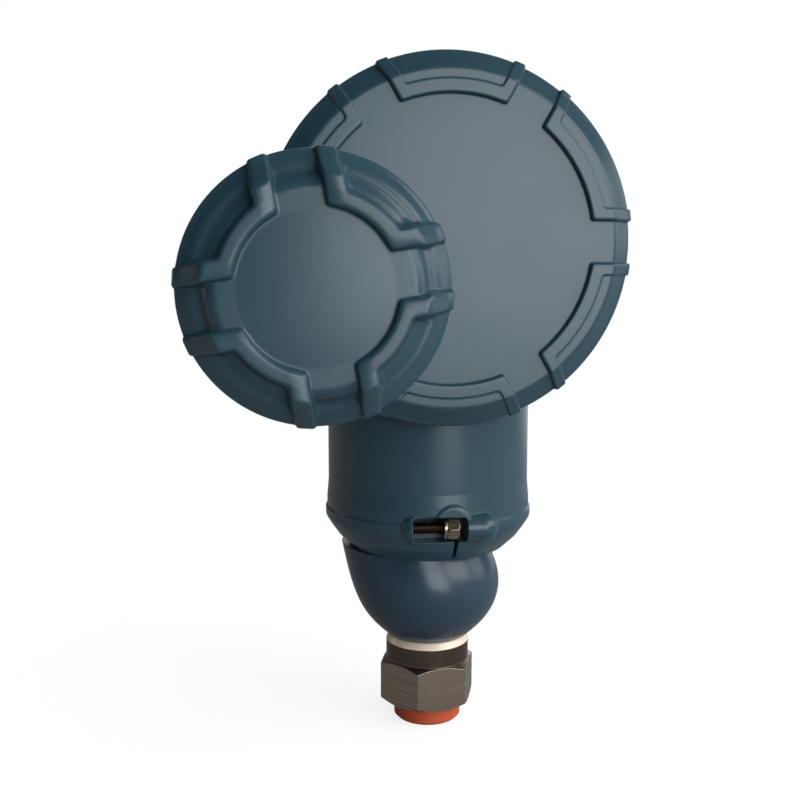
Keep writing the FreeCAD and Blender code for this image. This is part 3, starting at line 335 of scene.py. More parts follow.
class Surface:
    """One material under construction: its graph, its shader and object coordinates."""

    def __init__(self, name: str) -> None:
        """Start an empty node material with that name."""
        self.material = bpy.data.materials.new(name)
        self.material.use_nodes = True
        self.graph = Graph(self.material.node_tree)
        self.shader = self.material.node_tree.nodes["Principled BSDF"]
        self.place = self.graph.node("ShaderNodeTexCoord").outputs["Object"]

    def effect(self, tree: bpy.types.NodeTree, **values: float) -> bpy.types.Node:
        """Place a shared effect in the material.

        Args:
            tree: the node group.
            values: the group's number inputs, with _ for a space.

        Returns:
            The group node.
        """
        made = self.graph.wired("ShaderNodeGroup", {"Position": self.place},
                                node_tree=tree)
        for name, value in values.items():
            made.inputs[name.replace("_", " ").title()].default_value = value
        return made

    def set(self, **values: object) -> None:
        """Set or link sockets of the shader, with _ for a space."""
        for name, value in values.items():
            label = name.replace("_", " ").title().replace("Ior", "IOR")
            self.graph.feed(self.shader.inputs[label], value)

    def bump(self, height: object, depth: float, normal: object = None) -> None:
        """Raise the surface by a height pattern.

        Args:
            height: output between 0 and 1.
            depth: height of the pattern in metres.
            normal: normal to start from.
        """
        made = self.graph.wired("ShaderNodeBump", {
            "Strength": 1.0, "Distance": depth, "Height": height, "Normal": normal})
        self.graph.feed(self.shader.inputs["Normal"], made.outputs["Normal"])


# ---------------------------------------------------------------- finishes

@dataclass(frozen=True)
class Paint:
    """Baked epoxy paint on a casting."""

    name: str
    colour: Colour
    drift: Colour
    # lighter colour along the edges: a painted highlight
    edge: Colour
    roughness: float = 0.36
    spread: float = 0.07
    peel_mm: float = 1.5
    peel_depth: float = 0.000012
    edge_radius: float = 0.0005
    shine: float = 0.5

    def material(self) -> bpy.types.Material:
        """Build the paint."""
        made = Surface(self.name)
        graph = made.graph
        drift = made.effect(Effects.drift(), patch_size=34.0, cloud_share=0.5)
        edges = made.effect(Effects.edges(), radius=self.edge_radius, sharpness=3.0)
        peel = made.effect(Effects.orange_peel(), peel_size=self.peel_mm, grit_share=0.5)
        body = graph.blend(drift.outputs["Factor"], rgba(self.colour), rgba(self.drift))
        # A lighter colour along the edges paints a highlight there.
        made.set(base_color=graph.blend(edges.outputs["Mask"], body, rgba(self.edge)),
                 roughness=graph.ramp(drift.outputs["Factor"], 0.0, 1.0,
                                      self.roughness, self.roughness + self.spread),
                 specular_ior_level=self.shine)
        made.bump(peel.outputs["Height"], self.peel_depth, edges.outputs["Normal"])
        return made.material


@dataclass(frozen=True)
class Metal:
    """Turned or rolled metal with fine tool lines.

    Painted shade may darken the colour between two heights, and a painted highlight, pale
    and less metallic, may lie from the upper one up to a third height, all in millimetres.
    """

    name: str
    colour: Colour
    dark: Colour
    roughness: float = 0.26
    spread: float = 0.16
    pitch_mm: float = 0.22
    line_depth: float = 0.000006
    edge_radius: float = 0.0003
    stain_share: float = 0.25
    # The next four fields set painted shade: a darker colour over a band of heights.
    tint: Colour = (0.0, 0.0, 0.0)
    painted_shade_from: float = 0.0
    painted_shade_to: float = 0.0
    painted_shade_share: float = 0.0
    # The next three fields set a painted highlight: a pale, less metallic colour above that
    # band.
    painted_highlight: Colour = (0.0, 0.0, 0.0)
    painted_highlight_to: float = 0.0
    painted_highlight_share: float = 0.0

    def material(self) -> bpy.types.Material:
        """Build the metal, with a band of painted shade and a painted highlight above it.
        """
        made = Surface(self.name)
        graph = made.graph
        lines = made.effect(Effects.lathe_lines(), pitch=self.pitch_mm)
        edges = made.effect(Effects.edges(), radius=self.edge_radius, sharpness=3.0)
        stain = made.effect(Effects.drift(), patch_size=9.0, cloud_share=0.8)
        shade = graph.ramp(lines.outputs["Shade"], 0.34, 0.66)
        body = graph.blend(shade, rgba(self.dark), rgba(self.colour))
        stains_and_painted_light = graph.blend(graph.product(stain.outputs["Factor"], self.stain_share),
                           body, rgba(self.dark))
        metallic: object = 1.0
        _, _, height = graph.split(made.place)

        def band(low: float, high: float, rise: float, fall: float) -> bpy.types.NodeSocket:
            return graph.product(
                graph.ramp(height, (low - rise) * MM, low * MM),
                graph.ramp(height, high * MM, (high + fall) * MM, 1.0, 0.0))

        # Painted shade: the colour darkens between the two heights.
        if self.painted_shade_share:
            painted_shade_mask = band(self.painted_shade_from, self.painted_shade_to, 1.2, 0.48)
            stains_and_painted_light = graph.blend(graph.product(painted_shade_mask, self.painted_shade_share), stains_and_painted_light,
                               rgba(self.tint))
        # Painted highlight: a pale, less metallic colour above the shaded band.
        if self.painted_highlight_share:
            plain = graph.product(band(self.painted_shade_to + 0.3, self.painted_highlight_to, 0.3, 0.3),
                                  self.painted_highlight_share)
            stains_and_painted_light = graph.blend(plain, stains_and_painted_light, rgba(self.painted_highlight))
            metallic = graph.maths("SUBTRACT", 1.0, plain)
        made.set(base_color=stains_and_painted_light, metallic=metallic,
                 roughness=graph.ramp(shade, 0.0, 1.0,
                                      self.roughness + self.spread, self.roughness))
        made.bump(lines.outputs["Height"], self.line_depth, edges.outputs["Normal"])
        return made.material


@dataclass(frozen=True)
class Moulding:
    """Moulded plastic or rubber with a fine grain."""

    name: str
    colour: Colour
    drift: Colour
    roughness: float = 0.5
    spread: float = 0.1
    grain_mm: float = 0.5
    grain_depth: float = 0.00001
    glow: float = 0.0

    def material(self) -> bpy.types.Material:
        """Build the plastic."""
        made = Surface(self.name)
        graph = made.graph
        drift = made.effect(Effects.drift(), patch_size=12.0, cloud_share=0.6)
        edges = made.effect(Effects.edges(), radius=0.0003, sharpness=2.5)
        grain = made.effect(Effects.orange_peel(), peel_size=self.grain_mm, grit_share=0.6)
        body = graph.blend(drift.outputs["Factor"], rgba(self.colour), rgba(self.drift))
        # A paler colour along the edges: a painted highlight.
        pale = tuple(min(1.0, channel * 1.35 + 0.01) for channel in self.drift)
        made.set(base_color=graph.blend(edges.outputs["Mask"], body, rgba(pale)),
                 roughness=graph.ramp(drift.outputs["Factor"], 0.0, 1.0,
                                      self.roughness, self.roughness + self.spread),
                 subsurface_weight=self.glow)
        made.shader.inputs["Subsurface Radius"].default_value = (0.003, 0.001, 0.0005)
        made.bump(grain.outputs["Height"], self.grain_depth, edges.outputs["Normal"])
        return made.material


@dataclass(frozen=True)
class BoardFinish:
    """Solder mask over copper tracks, glossy, with small plated points."""

    name: str = "solder_mask"
    mask: Colour = (0.012, 0.10, 0.045)
    track: Colour = (0.02, 0.20, 0.085)
    pad: Colour = (0.62, 0.56, 0.42)
    cell_mm: float = 3.1
    pad_spacing: float = 1.4
    track_edge: tuple[float, float] = (0.05, 0.09)
    pad_edge: tuple[float, float] = (0.12, 0.15)
    relief: float = 0.00003

    def material(self) -> bpy.types.Material:
        """Build the board's finish."""
        made = Surface(self.name)
        graph = made.graph
        cells = graph.wired("ShaderNodeTexVoronoi", {
            "Scale": PER_METRE / self.cell_mm, "Vector": made.place},
            distance="MANHATTAN", feature="DISTANCE_TO_EDGE")
        track = graph.ramp(cells.outputs["Distance"], *self.track_edge, 1.0, 0.0)
        dots = graph.wired("ShaderNodeTexVoronoi", {
            "Scale": PER_METRE / (self.cell_mm * self.pad_spacing),
            "Vector": made.place}, feature="F1")
        pad = graph.ramp(dots.outputs["Distance"], *self.pad_edge, 1.0, 0.0)
        body = graph.blend(track, rgba(self.mask), rgba(self.track))
        made.set(base_color=graph.blend(pad, body, rgba(self.pad)),
                 metallic=graph.product(pad, 0.9),
                 roughness=graph.ramp(pad, 0.0, 1.0, 0.22, 0.4))
        made.bump(graph.maths("MAXIMUM", track, pad), self.relief)
        return made.material


@dataclass(frozen=True)
class RibbonFinish:
    """Grey flat cable with a groove between its wires and one marked wire."""

    name: str = "flat_cable"
    grey: Colour = (0.33, 0.33, 0.35)
    mark: Colour = (0.45, 0.04, 0.03)
    pitch_mm: float = 1.2
    half_width_mm: float = 6.0
    relief: float = 0.0003

    def material(self) -> bpy.types.Material:
        """Build the cable's finish."""
        made = Surface(self.name)
        graph = made.graph
        x, _, _ = graph.split(made.place)
        wave = graph.maths("ABSOLUTE", graph.maths("SINE", graph.product(
            x, PER_METRE / self.pitch_mm, math.pi)))
        inner = self.pitch_mm - self.half_width_mm
        first = graph.ramp(x, inner * MM, (inner + 0.1) * MM, 1.0, 0.0)
        made.set(base_color=graph.blend(first, rgba(self.grey), rgba(self.mark)),
                 roughness=graph.ramp(wave, 0.0, 1.0, 0.65, 0.45))
        made.bump(wave, self.relief)
        return made.material


class Finishes:
    """All finishes of the transmitter, and which node wears which."""

    def __init__(self) -> None:
        """Build each finish once."""
        # A darker colour for the clamp screw's threaded rod.
        self.darker_rod = Metal("darker_rod_thread", colour=(0.12, 0.075, 0.05),
                           dark=(0.04, 0.025, 0.018), roughness=0.3, spread=0.15,
                           pitch_mm=0.3).material()
        self.by_slot: dict[Slot, bpy.types.Material] = {
            # Each paint's edge colour is lighter than its body: a painted highlight along
            # edges.
            Slot.HOUSING: Paint("housing_paint", colour=(0.020, 0.062, 0.088),
                                drift=(0.024, 0.068, 0.095), edge=(0.060, 0.120, 0.152),
                                roughness=0.27, spread=0.04, shine=0.65).material(),
            Slot.MODULE: Paint("module_paint", colour=(0.022, 0.048, 0.080),
                               drift=(0.027, 0.056, 0.092), edge=(0.06, 0.10, 0.14),
                               roughness=0.25, spread=0.04, shine=0.6).material(),
            # The collar wears painted shade and the shoulder above it a painted highlight.
            Slot.STEEL: Metal("turned_steel", colour=(0.58, 0.49, 0.40),
                              dark=(0.34, 0.27, 0.21), roughness=0.22, spread=0.10,
                              tint=(0.07, 0.05, 0.04), painted_shade_from=11.6, painted_shade_to=17.0,
                              painted_shade_share=0.78, painted_highlight=(0.98, 0.82, 0.66), painted_highlight_to=19.6,
                              painted_highlight_share=0.92).material(),
            Slot.ORANGE: Moulding("orange_plug", colour=(0.55, 0.082, 0.028),
                                  drift=(0.62, 0.105, 0.038), roughness=0.42,
                                  glow=0.15).material(),
            Slot.RUBBER: Moulding("black_rubber", colour=(0.013, 0.013, 0.014),
                                  drift=(0.02, 0.02, 0.02), roughness=0.55).material(),
            Slot.BOARD: BoardFinish().material(),
            Slot.BLACK: Moulding("black_moulding", colour=(0.018, 0.018, 0.02),
                                 drift=(0.028, 0.028, 0.03), roughness=0.45,
                                 grain_mm=0.7, grain_depth=0.00002).material(),
            Slot.RIBBON: RibbonFinish().material(),
            Slot.PLATED: Metal("plated_steel", colour=(0.50, 0.43, 0.33),
                               dark=(0.22, 0.17, 0.12), roughness=0.2,
                               pitch_mm=0.3).material(),
            Slot.BRASS: Metal("washed_brass", colour=(0.66, 0.50, 0.24),
                              dark=(0.45, 0.33, 0.15), roughness=0.28).material(),
        }

    def dress_nodes(self) -> None:
        """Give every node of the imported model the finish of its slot."""
        for part in frame["record"]["subparts"]:
            slot = Slot(part["material_slot"])
            mesh = frame["nodes"][part["node"]].data
            mesh.materials.clear()
            mesh.materials.append(self.by_slot[slot])
            LOG.info("node %s wears %s", part["node"], slot.value)


# ---------------------------------------------------------------- mesh tools

def make_piece(name: str, points: np.ndarray, faces: list[tuple[int, ...]],
               material: bpy.types.Material, sharp: float = 32.0) -> bpy.types.Object:
    """Make a closed mesh piece with smooth shading broken at sharp edges.

    Args:
        name: name of the piece.
        points: vertices in metres.
        faces: vertex numbers of the faces.
        material: the finish.
        sharp: edge angle in degrees from which shading breaks.

    Returns:
        The new object.
    """
    mesh = bpy.data.meshes.new(name)
    mesh.from_pydata(np.asarray(points, float).tolist(), [], faces)
    return finish_mesh(mesh, name, material, sharp)


def finish_mesh(mesh: bpy.types.Mesh, name: str, material: bpy.types.Material,
                sharp: float = 32.0) -> bpy.types.Object:
    """Close a mesh, turn its faces outwards, shade it and make an object of it."""
    tidy = bmesh.new()
    tidy.from_mesh(mesh)
    bmesh.ops.remove_doubles(tidy, verts=tidy.verts, dist=SAME_SPOT)
    bmesh.ops.dissolve_degenerate(tidy, edges=tidy.edges, dist=SAME_SPOT)
    bmesh.ops.recalc_face_normals(tidy, faces=tidy.faces)
    if tidy.calc_volume(signed=True) < 0.0:
        bmesh.ops.reverse_faces(tidy, faces=tidy.faces)
    tidy.to_mesh(mesh)
    tidy.free()
    mesh.shade_smooth()
    mesh.set_sharp_from_angle(angle=math.radians(sharp))
    mesh.materials.clear()
    mesh.materials.append(material)
    piece = bpy.data.objects.new(name, mesh)
    bpy.context.scene.collection.objects.link(piece)
    return piece


def grid_faces(rows: int, columns: int) -> list[tuple[int, ...]]:
    """Quads between rows of vertices that each close into a ring."""
    faces = []
    for row in range(rows - 1):
        for column in range(columns):
            right = (column + 1) % columns
            faces.append((row * columns + column, row * columns + right,
                          (row + 1) * columns + right, (row + 1) * columns + column))
    return faces


def capped_tube(rings: list[np.ndarray]) -> tuple[np.ndarray, list[tuple[int, ...]]]:
    """Join rings into a closed skin: points in metres and the faces."""
    columns = len(rings[0])
    points = np.concatenate(rings)
    ends = [tuple(range(columns)), tuple(range(len(points) - columns, len(points)))]
    return points * MM, grid_faces(len(rings), columns) + ends


def thread_share(lap: np.ndarray, crest: float, flank: float) -> np.ndarray:
    """Share of a thread's height at a share of its pitch: a flat crest, sloping flanks."""
    return np.clip(crest - np.abs(lap - 0.5) * flank, 0.0, 1.0)


def hand_over(piece: bpy.types.Object, body: Body, slot: Slot, *nodes: str) -> None:
    """Parent a piece to its body's empty and hide the imported nodes that it replaces."""
    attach(piece, body.value)
    if nodes:
        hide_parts(*nodes)
    LOG.info("piece %s: %d faces", piece.name, len(piece.data.polygons))


# ---------------------------------------------------------------- covers

@dataclass
class Cover:
    """Cast screw cover: a face, a bevelled rim, grip lugs and a threaded skirt.

    Distances ahead are along -Y from the process axis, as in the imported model.
    """

    node: str
    body: Body
    centre_x: float
    centre_z: float
    outer: Profile
    lug_outer: Profile
    recess: Profile
    rim: float
    lugs: int
    turn: float
    lug_in: float
    arc: float
    rib: float
    channel: float
    seat: float
    thread_radius: float
    thread_length: float
    skirt: float
    shell: float
    face_round: float
    inner_round: float
    foot_round: float
    draft: float
    dome: float
    groove: float = 2.4
    pitch: float = 1.5
    thread_depth: float = 0.8

    # lines of the mesh beside a lug's wall and inside a gap
    wall_stations = (-1.1, -0.75, -0.5, -0.32, -0.18, -0.08, 0.0, 0.06, 0.16, 0.32,
                     0.55, 0.85)
    gap_shares = (0.0, 0.25, 0.5, 0.72)
    pole_room = 2.5
    middle_steps = 9
    # samples that round a corner, and how far their weight falls off
    corner_samples = 9
    corner_falloff = 0.85
    # rings on the face and the bevel, the smallest ring and the closest pair
    corner_steps = range(-3, 4)
    face_rings = 16
    face_margin = 1.6
    bevel_rings = 12
    bevel_margin = 1.2
    rim_margin = 0.8
    hub = 0.5
    closest = 0.055
    # round of the rim, foot of the rim, lip of the seal's groove
    rim_round = 0.75
    bend_shares = (0.25, 0.5, 0.75, 1.0)
    bend_drop = 0.5
    foot_rise = 0.9
    foot_bevel = 0.5
    foot_share = 0.6
    seat_bevel = 0.35
    groove_lip = 0.6
    # thread
    rings_per_turn = 10
    crest = 1.25
    flank = 3.2
    run_out = 8.0
    thread_end = 0.3
    # inside of the cup: the skirt's end, the round of the ceiling, the middle
    lip = 0.4
    cup_round = ((0.0, 1.8), (0.5, 0.5), (1.8, 0.0))
    ceiling_hub = 1.0

    def lines_across(self) -> list[float]:
        """Distances from a gap's middle line at which the mesh has lines."""
        half = self.channel / 2.0
        steps = [half * share for share in self.gap_shares]
        steps += [half + station for station in self.wall_stations]
        far = half + self.rib
        steps += [far - station for station in reversed(self.wall_stations)]
        return sorted(step for step in steps if step >= 0.0)

    def angles_at(self, radius: float) -> np.ndarray:
        """Angles of the mesh lines at a radius, from one gap to the next."""
        sector = TURN / self.lugs
        lines = self.lines_across()
        safe = max(radius, self.lug_in - self.pole_room)
        near = [math.asin(line / safe) for line in lines]
        left = sector / 2.0 - near[-1]
        near += [near[-1] + left * (k + 1) / self.middle_steps
                 for k in range(self.middle_steps)]
        mirrored = [sector - angle for angle in reversed(near[1:-1])]
        return np.array(near + mirrored)

    def face_height(self, profile: Profile, radius: float) -> float:
        """Height of a half-section at a radius, its corners rounded."""
        def straight(at: float) -> float:
            spots = np.array(profile)
            return float(np.interp(at, spots[:, 0], spots[:, 1]))
        width = self.face_round
        samples = np.linspace(-1.0, 1.0, self.corner_samples)
        weights = 1.0 - np.abs(samples) * self.corner_falloff
        heights = [straight(radius + width * sample) for sample in samples]
        return float(np.dot(weights, heights) / weights.sum())

    def radii(self) -> list[float]:
        """Radii of the rings on the face and bevel, out to the rim's round."""
        marks = [self.lug_in + s for s in self.wall_stations]
        marks += [self.lug_in + self.arc - s for s in self.wall_stations]
        for corner, _ in self.outer[1:-1] + self.recess[1:-1]:
            marks += [corner + k * self.face_round / 2.0 for k in self.corner_steps]
        marks += list(np.linspace(0.0, self.lug_in - self.face_margin,
                                  self.face_rings))[1:]
        marks += list(np.linspace(self.lug_in + self.bevel_margin,
                                  self.rim - self.rim_margin, self.bevel_rings))
        marks = sorted(mark for mark in marks
                       if self.hub < mark <= self.rim - self.rim_round)
        kept = [marks[0]]
        for mark in marks[1:]:
            if mark - kept[-1] > self.closest:
                kept.append(mark)
        return kept

    def wall(self, into: float, top: float, low: float, bend: float) -> float:
        """Height of a lug's drafted wall with a rounded top edge and a soft foot.

        Args:
            into: distance into the lug from the wall's line.
            top: height of the lug.
            low: height of the ground beside it.
            bend: radius of the top edge.

        Returns:
            The height at that distance.
        """
        if into < 0.0:
            height = top - bend + self.draft * into
        elif into < bend:
            height = top - bend + math.sqrt(max(0.0, bend ** 2 - (bend - into) ** 2))
        else:
            height = top
        over = max(self.foot_round - abs(low - height), 0.0) / self.foot_round
        return max(low, height) + over * over * self.foot_round / 4.0

    def lug_share(self, radius: float, across: float) -> tuple[float, float]:
        """Height of the cast face at a spot, and how much of a lug is there.

        Args:
            radius: distance from the cover's axis.
            across: distance from the nearest gap's middle line.

        Returns:
            The height ahead at that spot, and the share of the lug's height reached.
        """
        def soft_least(a: float, b: float, width: float) -> float:
            over = max(width - abs(a - b), 0.0) / width
            return min(a, b) - over * over * width / 4.0
        base = self.face_height(self.outer, radius)
        base += self.dome * max(0.0, 1.0 - (radius / (self.lug_in - 1.0)) ** 2)
        top = self.face_height(self.lug_outer, radius)
        floor = self.face_height(self.recess, radius)
        half = self.channel / 2.0
        into = soft_least(across - half, radius - self.lug_in, 0.9)
        back = -soft_least(across - half - self.rib, radius - self.lug_in - self.arc, 0.9)
        height = min(self.wall(into, top, base, self.face_round),
                     self.wall(back, top, floor, self.inner_round))
        reach = max(top - base, 1e-6)
        return height, min(1.0, max(0.0, (height - base) / reach))

    def mesh(self) -> tuple[np.ndarray, list[tuple[int, ...]]]:
        """Vertices in metres and faces of the whole cover."""
        sector = TURN / self.lugs
        rings: list[np.ndarray] = []
        radii = self.radii()

        def ring_angles(radius: float) -> tuple[np.ndarray, np.ndarray]:
            one = self.angles_at(radius)
            every = np.concatenate([one + sector * k for k in range(self.lugs)])
            inside = np.minimum(one, sector - one)
            return every, np.tile(radius * np.sin(inside), self.lugs)

        def add(radii_of: np.ndarray, heights: np.ndarray, angles: np.ndarray) -> None:
            turned = angles + math.radians(self.turn)
            rings.append(np.stack([
                self.centre_x + radii_of * np.cos(turned), -heights,
                self.centre_z + radii_of * np.sin(turned)], axis=1))

        share = np.zeros(0)
        for radius in radii:
            angles, across = ring_angles(radius)
            pairs = [self.lug_share(radius, value) for value in across]
            heights = np.array([pair[0] for pair in pairs])
            share = np.array([pair[1] for pair in pairs])
            add(np.full(len(angles), radius), heights, angles)
        outward = share ** 4
        angles, _ = ring_angles(self.rim)
        edge, bevel = self.outer[-1]
        proud, lug_bevel = self.lug_outer[-1]
        last = radii[-1]
        low = self.face_height(self.outer, last)
        high = self.face_height(self.lug_outer, last)
        for step in self.bend_shares:
            bend = math.radians(90.0 * step)
            out, down = math.sin(bend), 1.0 - math.cos(bend)
            base_r = last + (edge - last) * out
            base_y = low + (bevel - self.bend_drop - low) * down
            lug_r = last + (proud - last) * out
            lug_y = high + (lug_bevel - self.bend_drop - high) * down
            add(base_r + (lug_r - base_r) * outward,
                base_y + (lug_y - base_y) * share, angles)
        full = np.ones(len(angles))
        foot = self.seat + self.foot_rise
        bulge = (proud - edge) * outward
        add(edge + bulge, full * (foot + self.foot_bevel), angles)
        add(edge + bulge * self.foot_share, full * foot, angles)
        root = self.thread_radius - self.groove
        for radius, height in ((edge, self.seat + self.seat_bevel),
                               (edge - self.seat_bevel, self.seat), (root, self.seat),
                               (root, self.seat - self.groove),
                               (self.thread_radius - self.groove_lip,
                                self.seat - self.groove)):
            add(full * radius, full * height, angles)
        start = self.seat - self.groove
        end = self.seat - self.thread_length
        steps = int((start - end) / self.pitch * self.rings_per_turn)
        for step in range(1, steps + 1):
            height = start + (end - start) * step / steps
            lap = (height / self.pitch - angles / TURN) % 1.0
            ridge = thread_share(lap, self.crest, self.flank)
            ease = min(1.0, step / self.run_out, (steps - step) / self.run_out)
            add(self.thread_radius - self.thread_depth * (1.0 - ridge * ease),
                full * height, angles)
        inside = self.thread_radius - self.skirt
        ceiling = self.outer[0][1] - self.shell
        crest_end = self.thread_radius - self.thread_depth - self.thread_end
        cup = [(inside - back, ceiling - drop) for back, drop in self.cup_round]
        for radius, height in [(crest_end, end), (inside + self.lip, end),
                               (inside, end + self.lip), *cup,
                               (inside * 0.5, ceiling), (self.ceiling_hub, ceiling)]:
            add(full * radius, full * height, angles)
        return capped_tube(rings)

    def build(self, finishes: Finishes) -> bpy.types.Object:
        """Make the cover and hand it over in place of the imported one."""
        points, faces = self.mesh()
        piece = make_piece(self.node + "_casting", points, faces,
                           finishes.by_slot[Slot.HOUSING], sharp=40.0)
        hand_over(piece, self.body, Slot.HOUSING, self.node)
        return piece


def middle_of(node: str) -> Vector:
    """Middle of a node's box, in millimetres."""
    low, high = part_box(node)
    return (low + high) * 0.5 / MM


def covers() -> list[Cover]:
    """Both covers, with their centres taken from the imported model."""
    large = middle_of("large_cover")
    small = middle_of("small_cover")
    return [
        Cover(node="large_cover", body=Body.LARGE_CAP, centre_x=large.x, centre_z=large.z,
              outer=[(0.0, 44.5), (47.6, 44.5), (53.3, 39.4)],
              lug_outer=[(0.0, 46.1), (47.6, 46.1), (53.9, 40.7)],
              recess=[(0.0, 45.6), (47.6, 45.6), (53.4, 40.2)], rim=53.3,
              lugs=6, turn=0.0, lug_in=40.7, arc=3.9, rib=3.4, channel=12.2,
              seat=34.0, thread_radius=45.7, thread_length=8.0, skirt=4.0, shell=5.6,
              face_round=0.6, inner_round=0.3, foot_round=0.4, draft=5.0, dome=0.0),
        Cover(node="small_cover", body=Body.SMALL_CAP, centre_x=small.x, centre_z=small.z,
              outer=[(0.0, 85.9), (24.6, 85.9), (26.6, 84.4), (27.6, 81.4), (30.6, 80.8),
                     (34.2, 77.0)],
              lug_outer=[(0.0, 88.0), (27.6, 88.0), (34.7, 78.6)],
              recess=[(0.0, 82.6), (26.0, 82.6), (28.2, 80.9), (30.6, 80.6), (34.2, 77.0)],
              rim=34.2,
              lugs=4, turn=9.75, lug_in=20.0, arc=4.1, rib=4.8, channel=12.0,
              seat=70.0, thread_radius=28.1, thread_length=7.0, skirt=3.0, shell=5.2,
              face_round=1.1, inner_round=0.8, foot_round=0.9, draft=4.5, dome=0.5),
    ]


# ---------------------------------------------------------------- clamp

@dataclass
class ClampScrew:
    """Hexagon-head screw of the clamp: a rolled thread, a neck and a bevelled head."""

    head_length: float = 4.2
    flats: float = 6.6
    bevel: float = 0.75
    rod: float = 1.8
    pitch: float = 0.8
    depth: float = 0.32
    neck: float = 0.9
    columns: int = 96

    tip_taper = 0.7
    lead = 0.5
    rings_per_turn = 10
    crest = 1.3
    flank = 3.4
    shoulder = 0.1
    corner_cut = 0.3
    bevel_slope = 1.25
    bevel_shares = (0.0, 0.2, 0.4, 0.6, 0.8, 1.0)
    dish_depth = 0.35
    dish_rim = 0.9

    def mesh(self) -> tuple[np.ndarray, list[tuple[int, ...]]]:
        """Rings from the tip of the rod to the outer face of the head."""
        low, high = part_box("clamp_screw")
        tip, end = low.x / MM, high.x / MM
        middle = middle_of("clamp_screw")
        seat = end - self.head_length
        angles = np.linspace(0.0, TURN, self.columns, endpoint=False)
        apothem = self.flats / 2.0
        corner = apothem / np.cos(np.mod(angles, TURN / 6.0) - TURN / 12.0)
        rings = []

        def add(station: float, radii: np.ndarray) -> None:
            rings.append(np.stack([np.full(self.columns, station),
                                   middle.y + radii * np.cos(angles),
                                   middle.z + radii * np.sin(angles)], axis=1))

        full = np.ones(self.columns)
        add(tip, full * (self.rod - self.tip_taper))
        start = tip + self.lead
        threaded = seat - self.neck - start
        steps = int(threaded / self.pitch * self.rings_per_turn)
        for step in range(steps + 1):
            station = start + threaded * step / steps
            lap = (station / self.pitch - angles / TURN) % 1.0
            ridge = thread_share(lap, self.crest, self.flank)
            add(station, self.rod - self.depth * (1.0 - ridge))
        add(seat - self.neck + self.shoulder, full * (self.rod - self.depth))
        add(seat, full * (self.rod - self.depth))
        bevelled = [(share * self.bevel,
                     np.minimum(corner, apothem - self.corner_cut
                                + share * self.bevel * self.bevel_slope))
                    for share in self.bevel_shares]
        for into, radii in bevelled:
            add(seat + into, radii)
        for into, radii in reversed(bevelled):
            add(end - into, radii)
        add(end - self.dish_depth, full * (apothem - self.dish_rim))
        return capped_tube(rings)

    def build(self, finishes: Finishes) -> bpy.types.Object:
        """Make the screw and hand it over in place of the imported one."""
        points, faces = self.mesh()
        piece = make_piece("clamp_screw_threaded", points, faces,
                           finishes.by_slot[Slot.PLATED], sharp=24.0)
        # The threaded rod gets a darker colour than the head.
        piece.data.materials.append(finishes.darker_rod)
        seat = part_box("clamp_screw")[1].x - self.head_length * MM
        for face in piece.data.polygons:
            face.material_index = int(face.center.x < seat - 0.05 * MM)
        hand_over(piece, Body.HOUSING, Slot.PLATED, "clamp_screw")
        return piece


# ---------------------------------------------------------------- what repeats

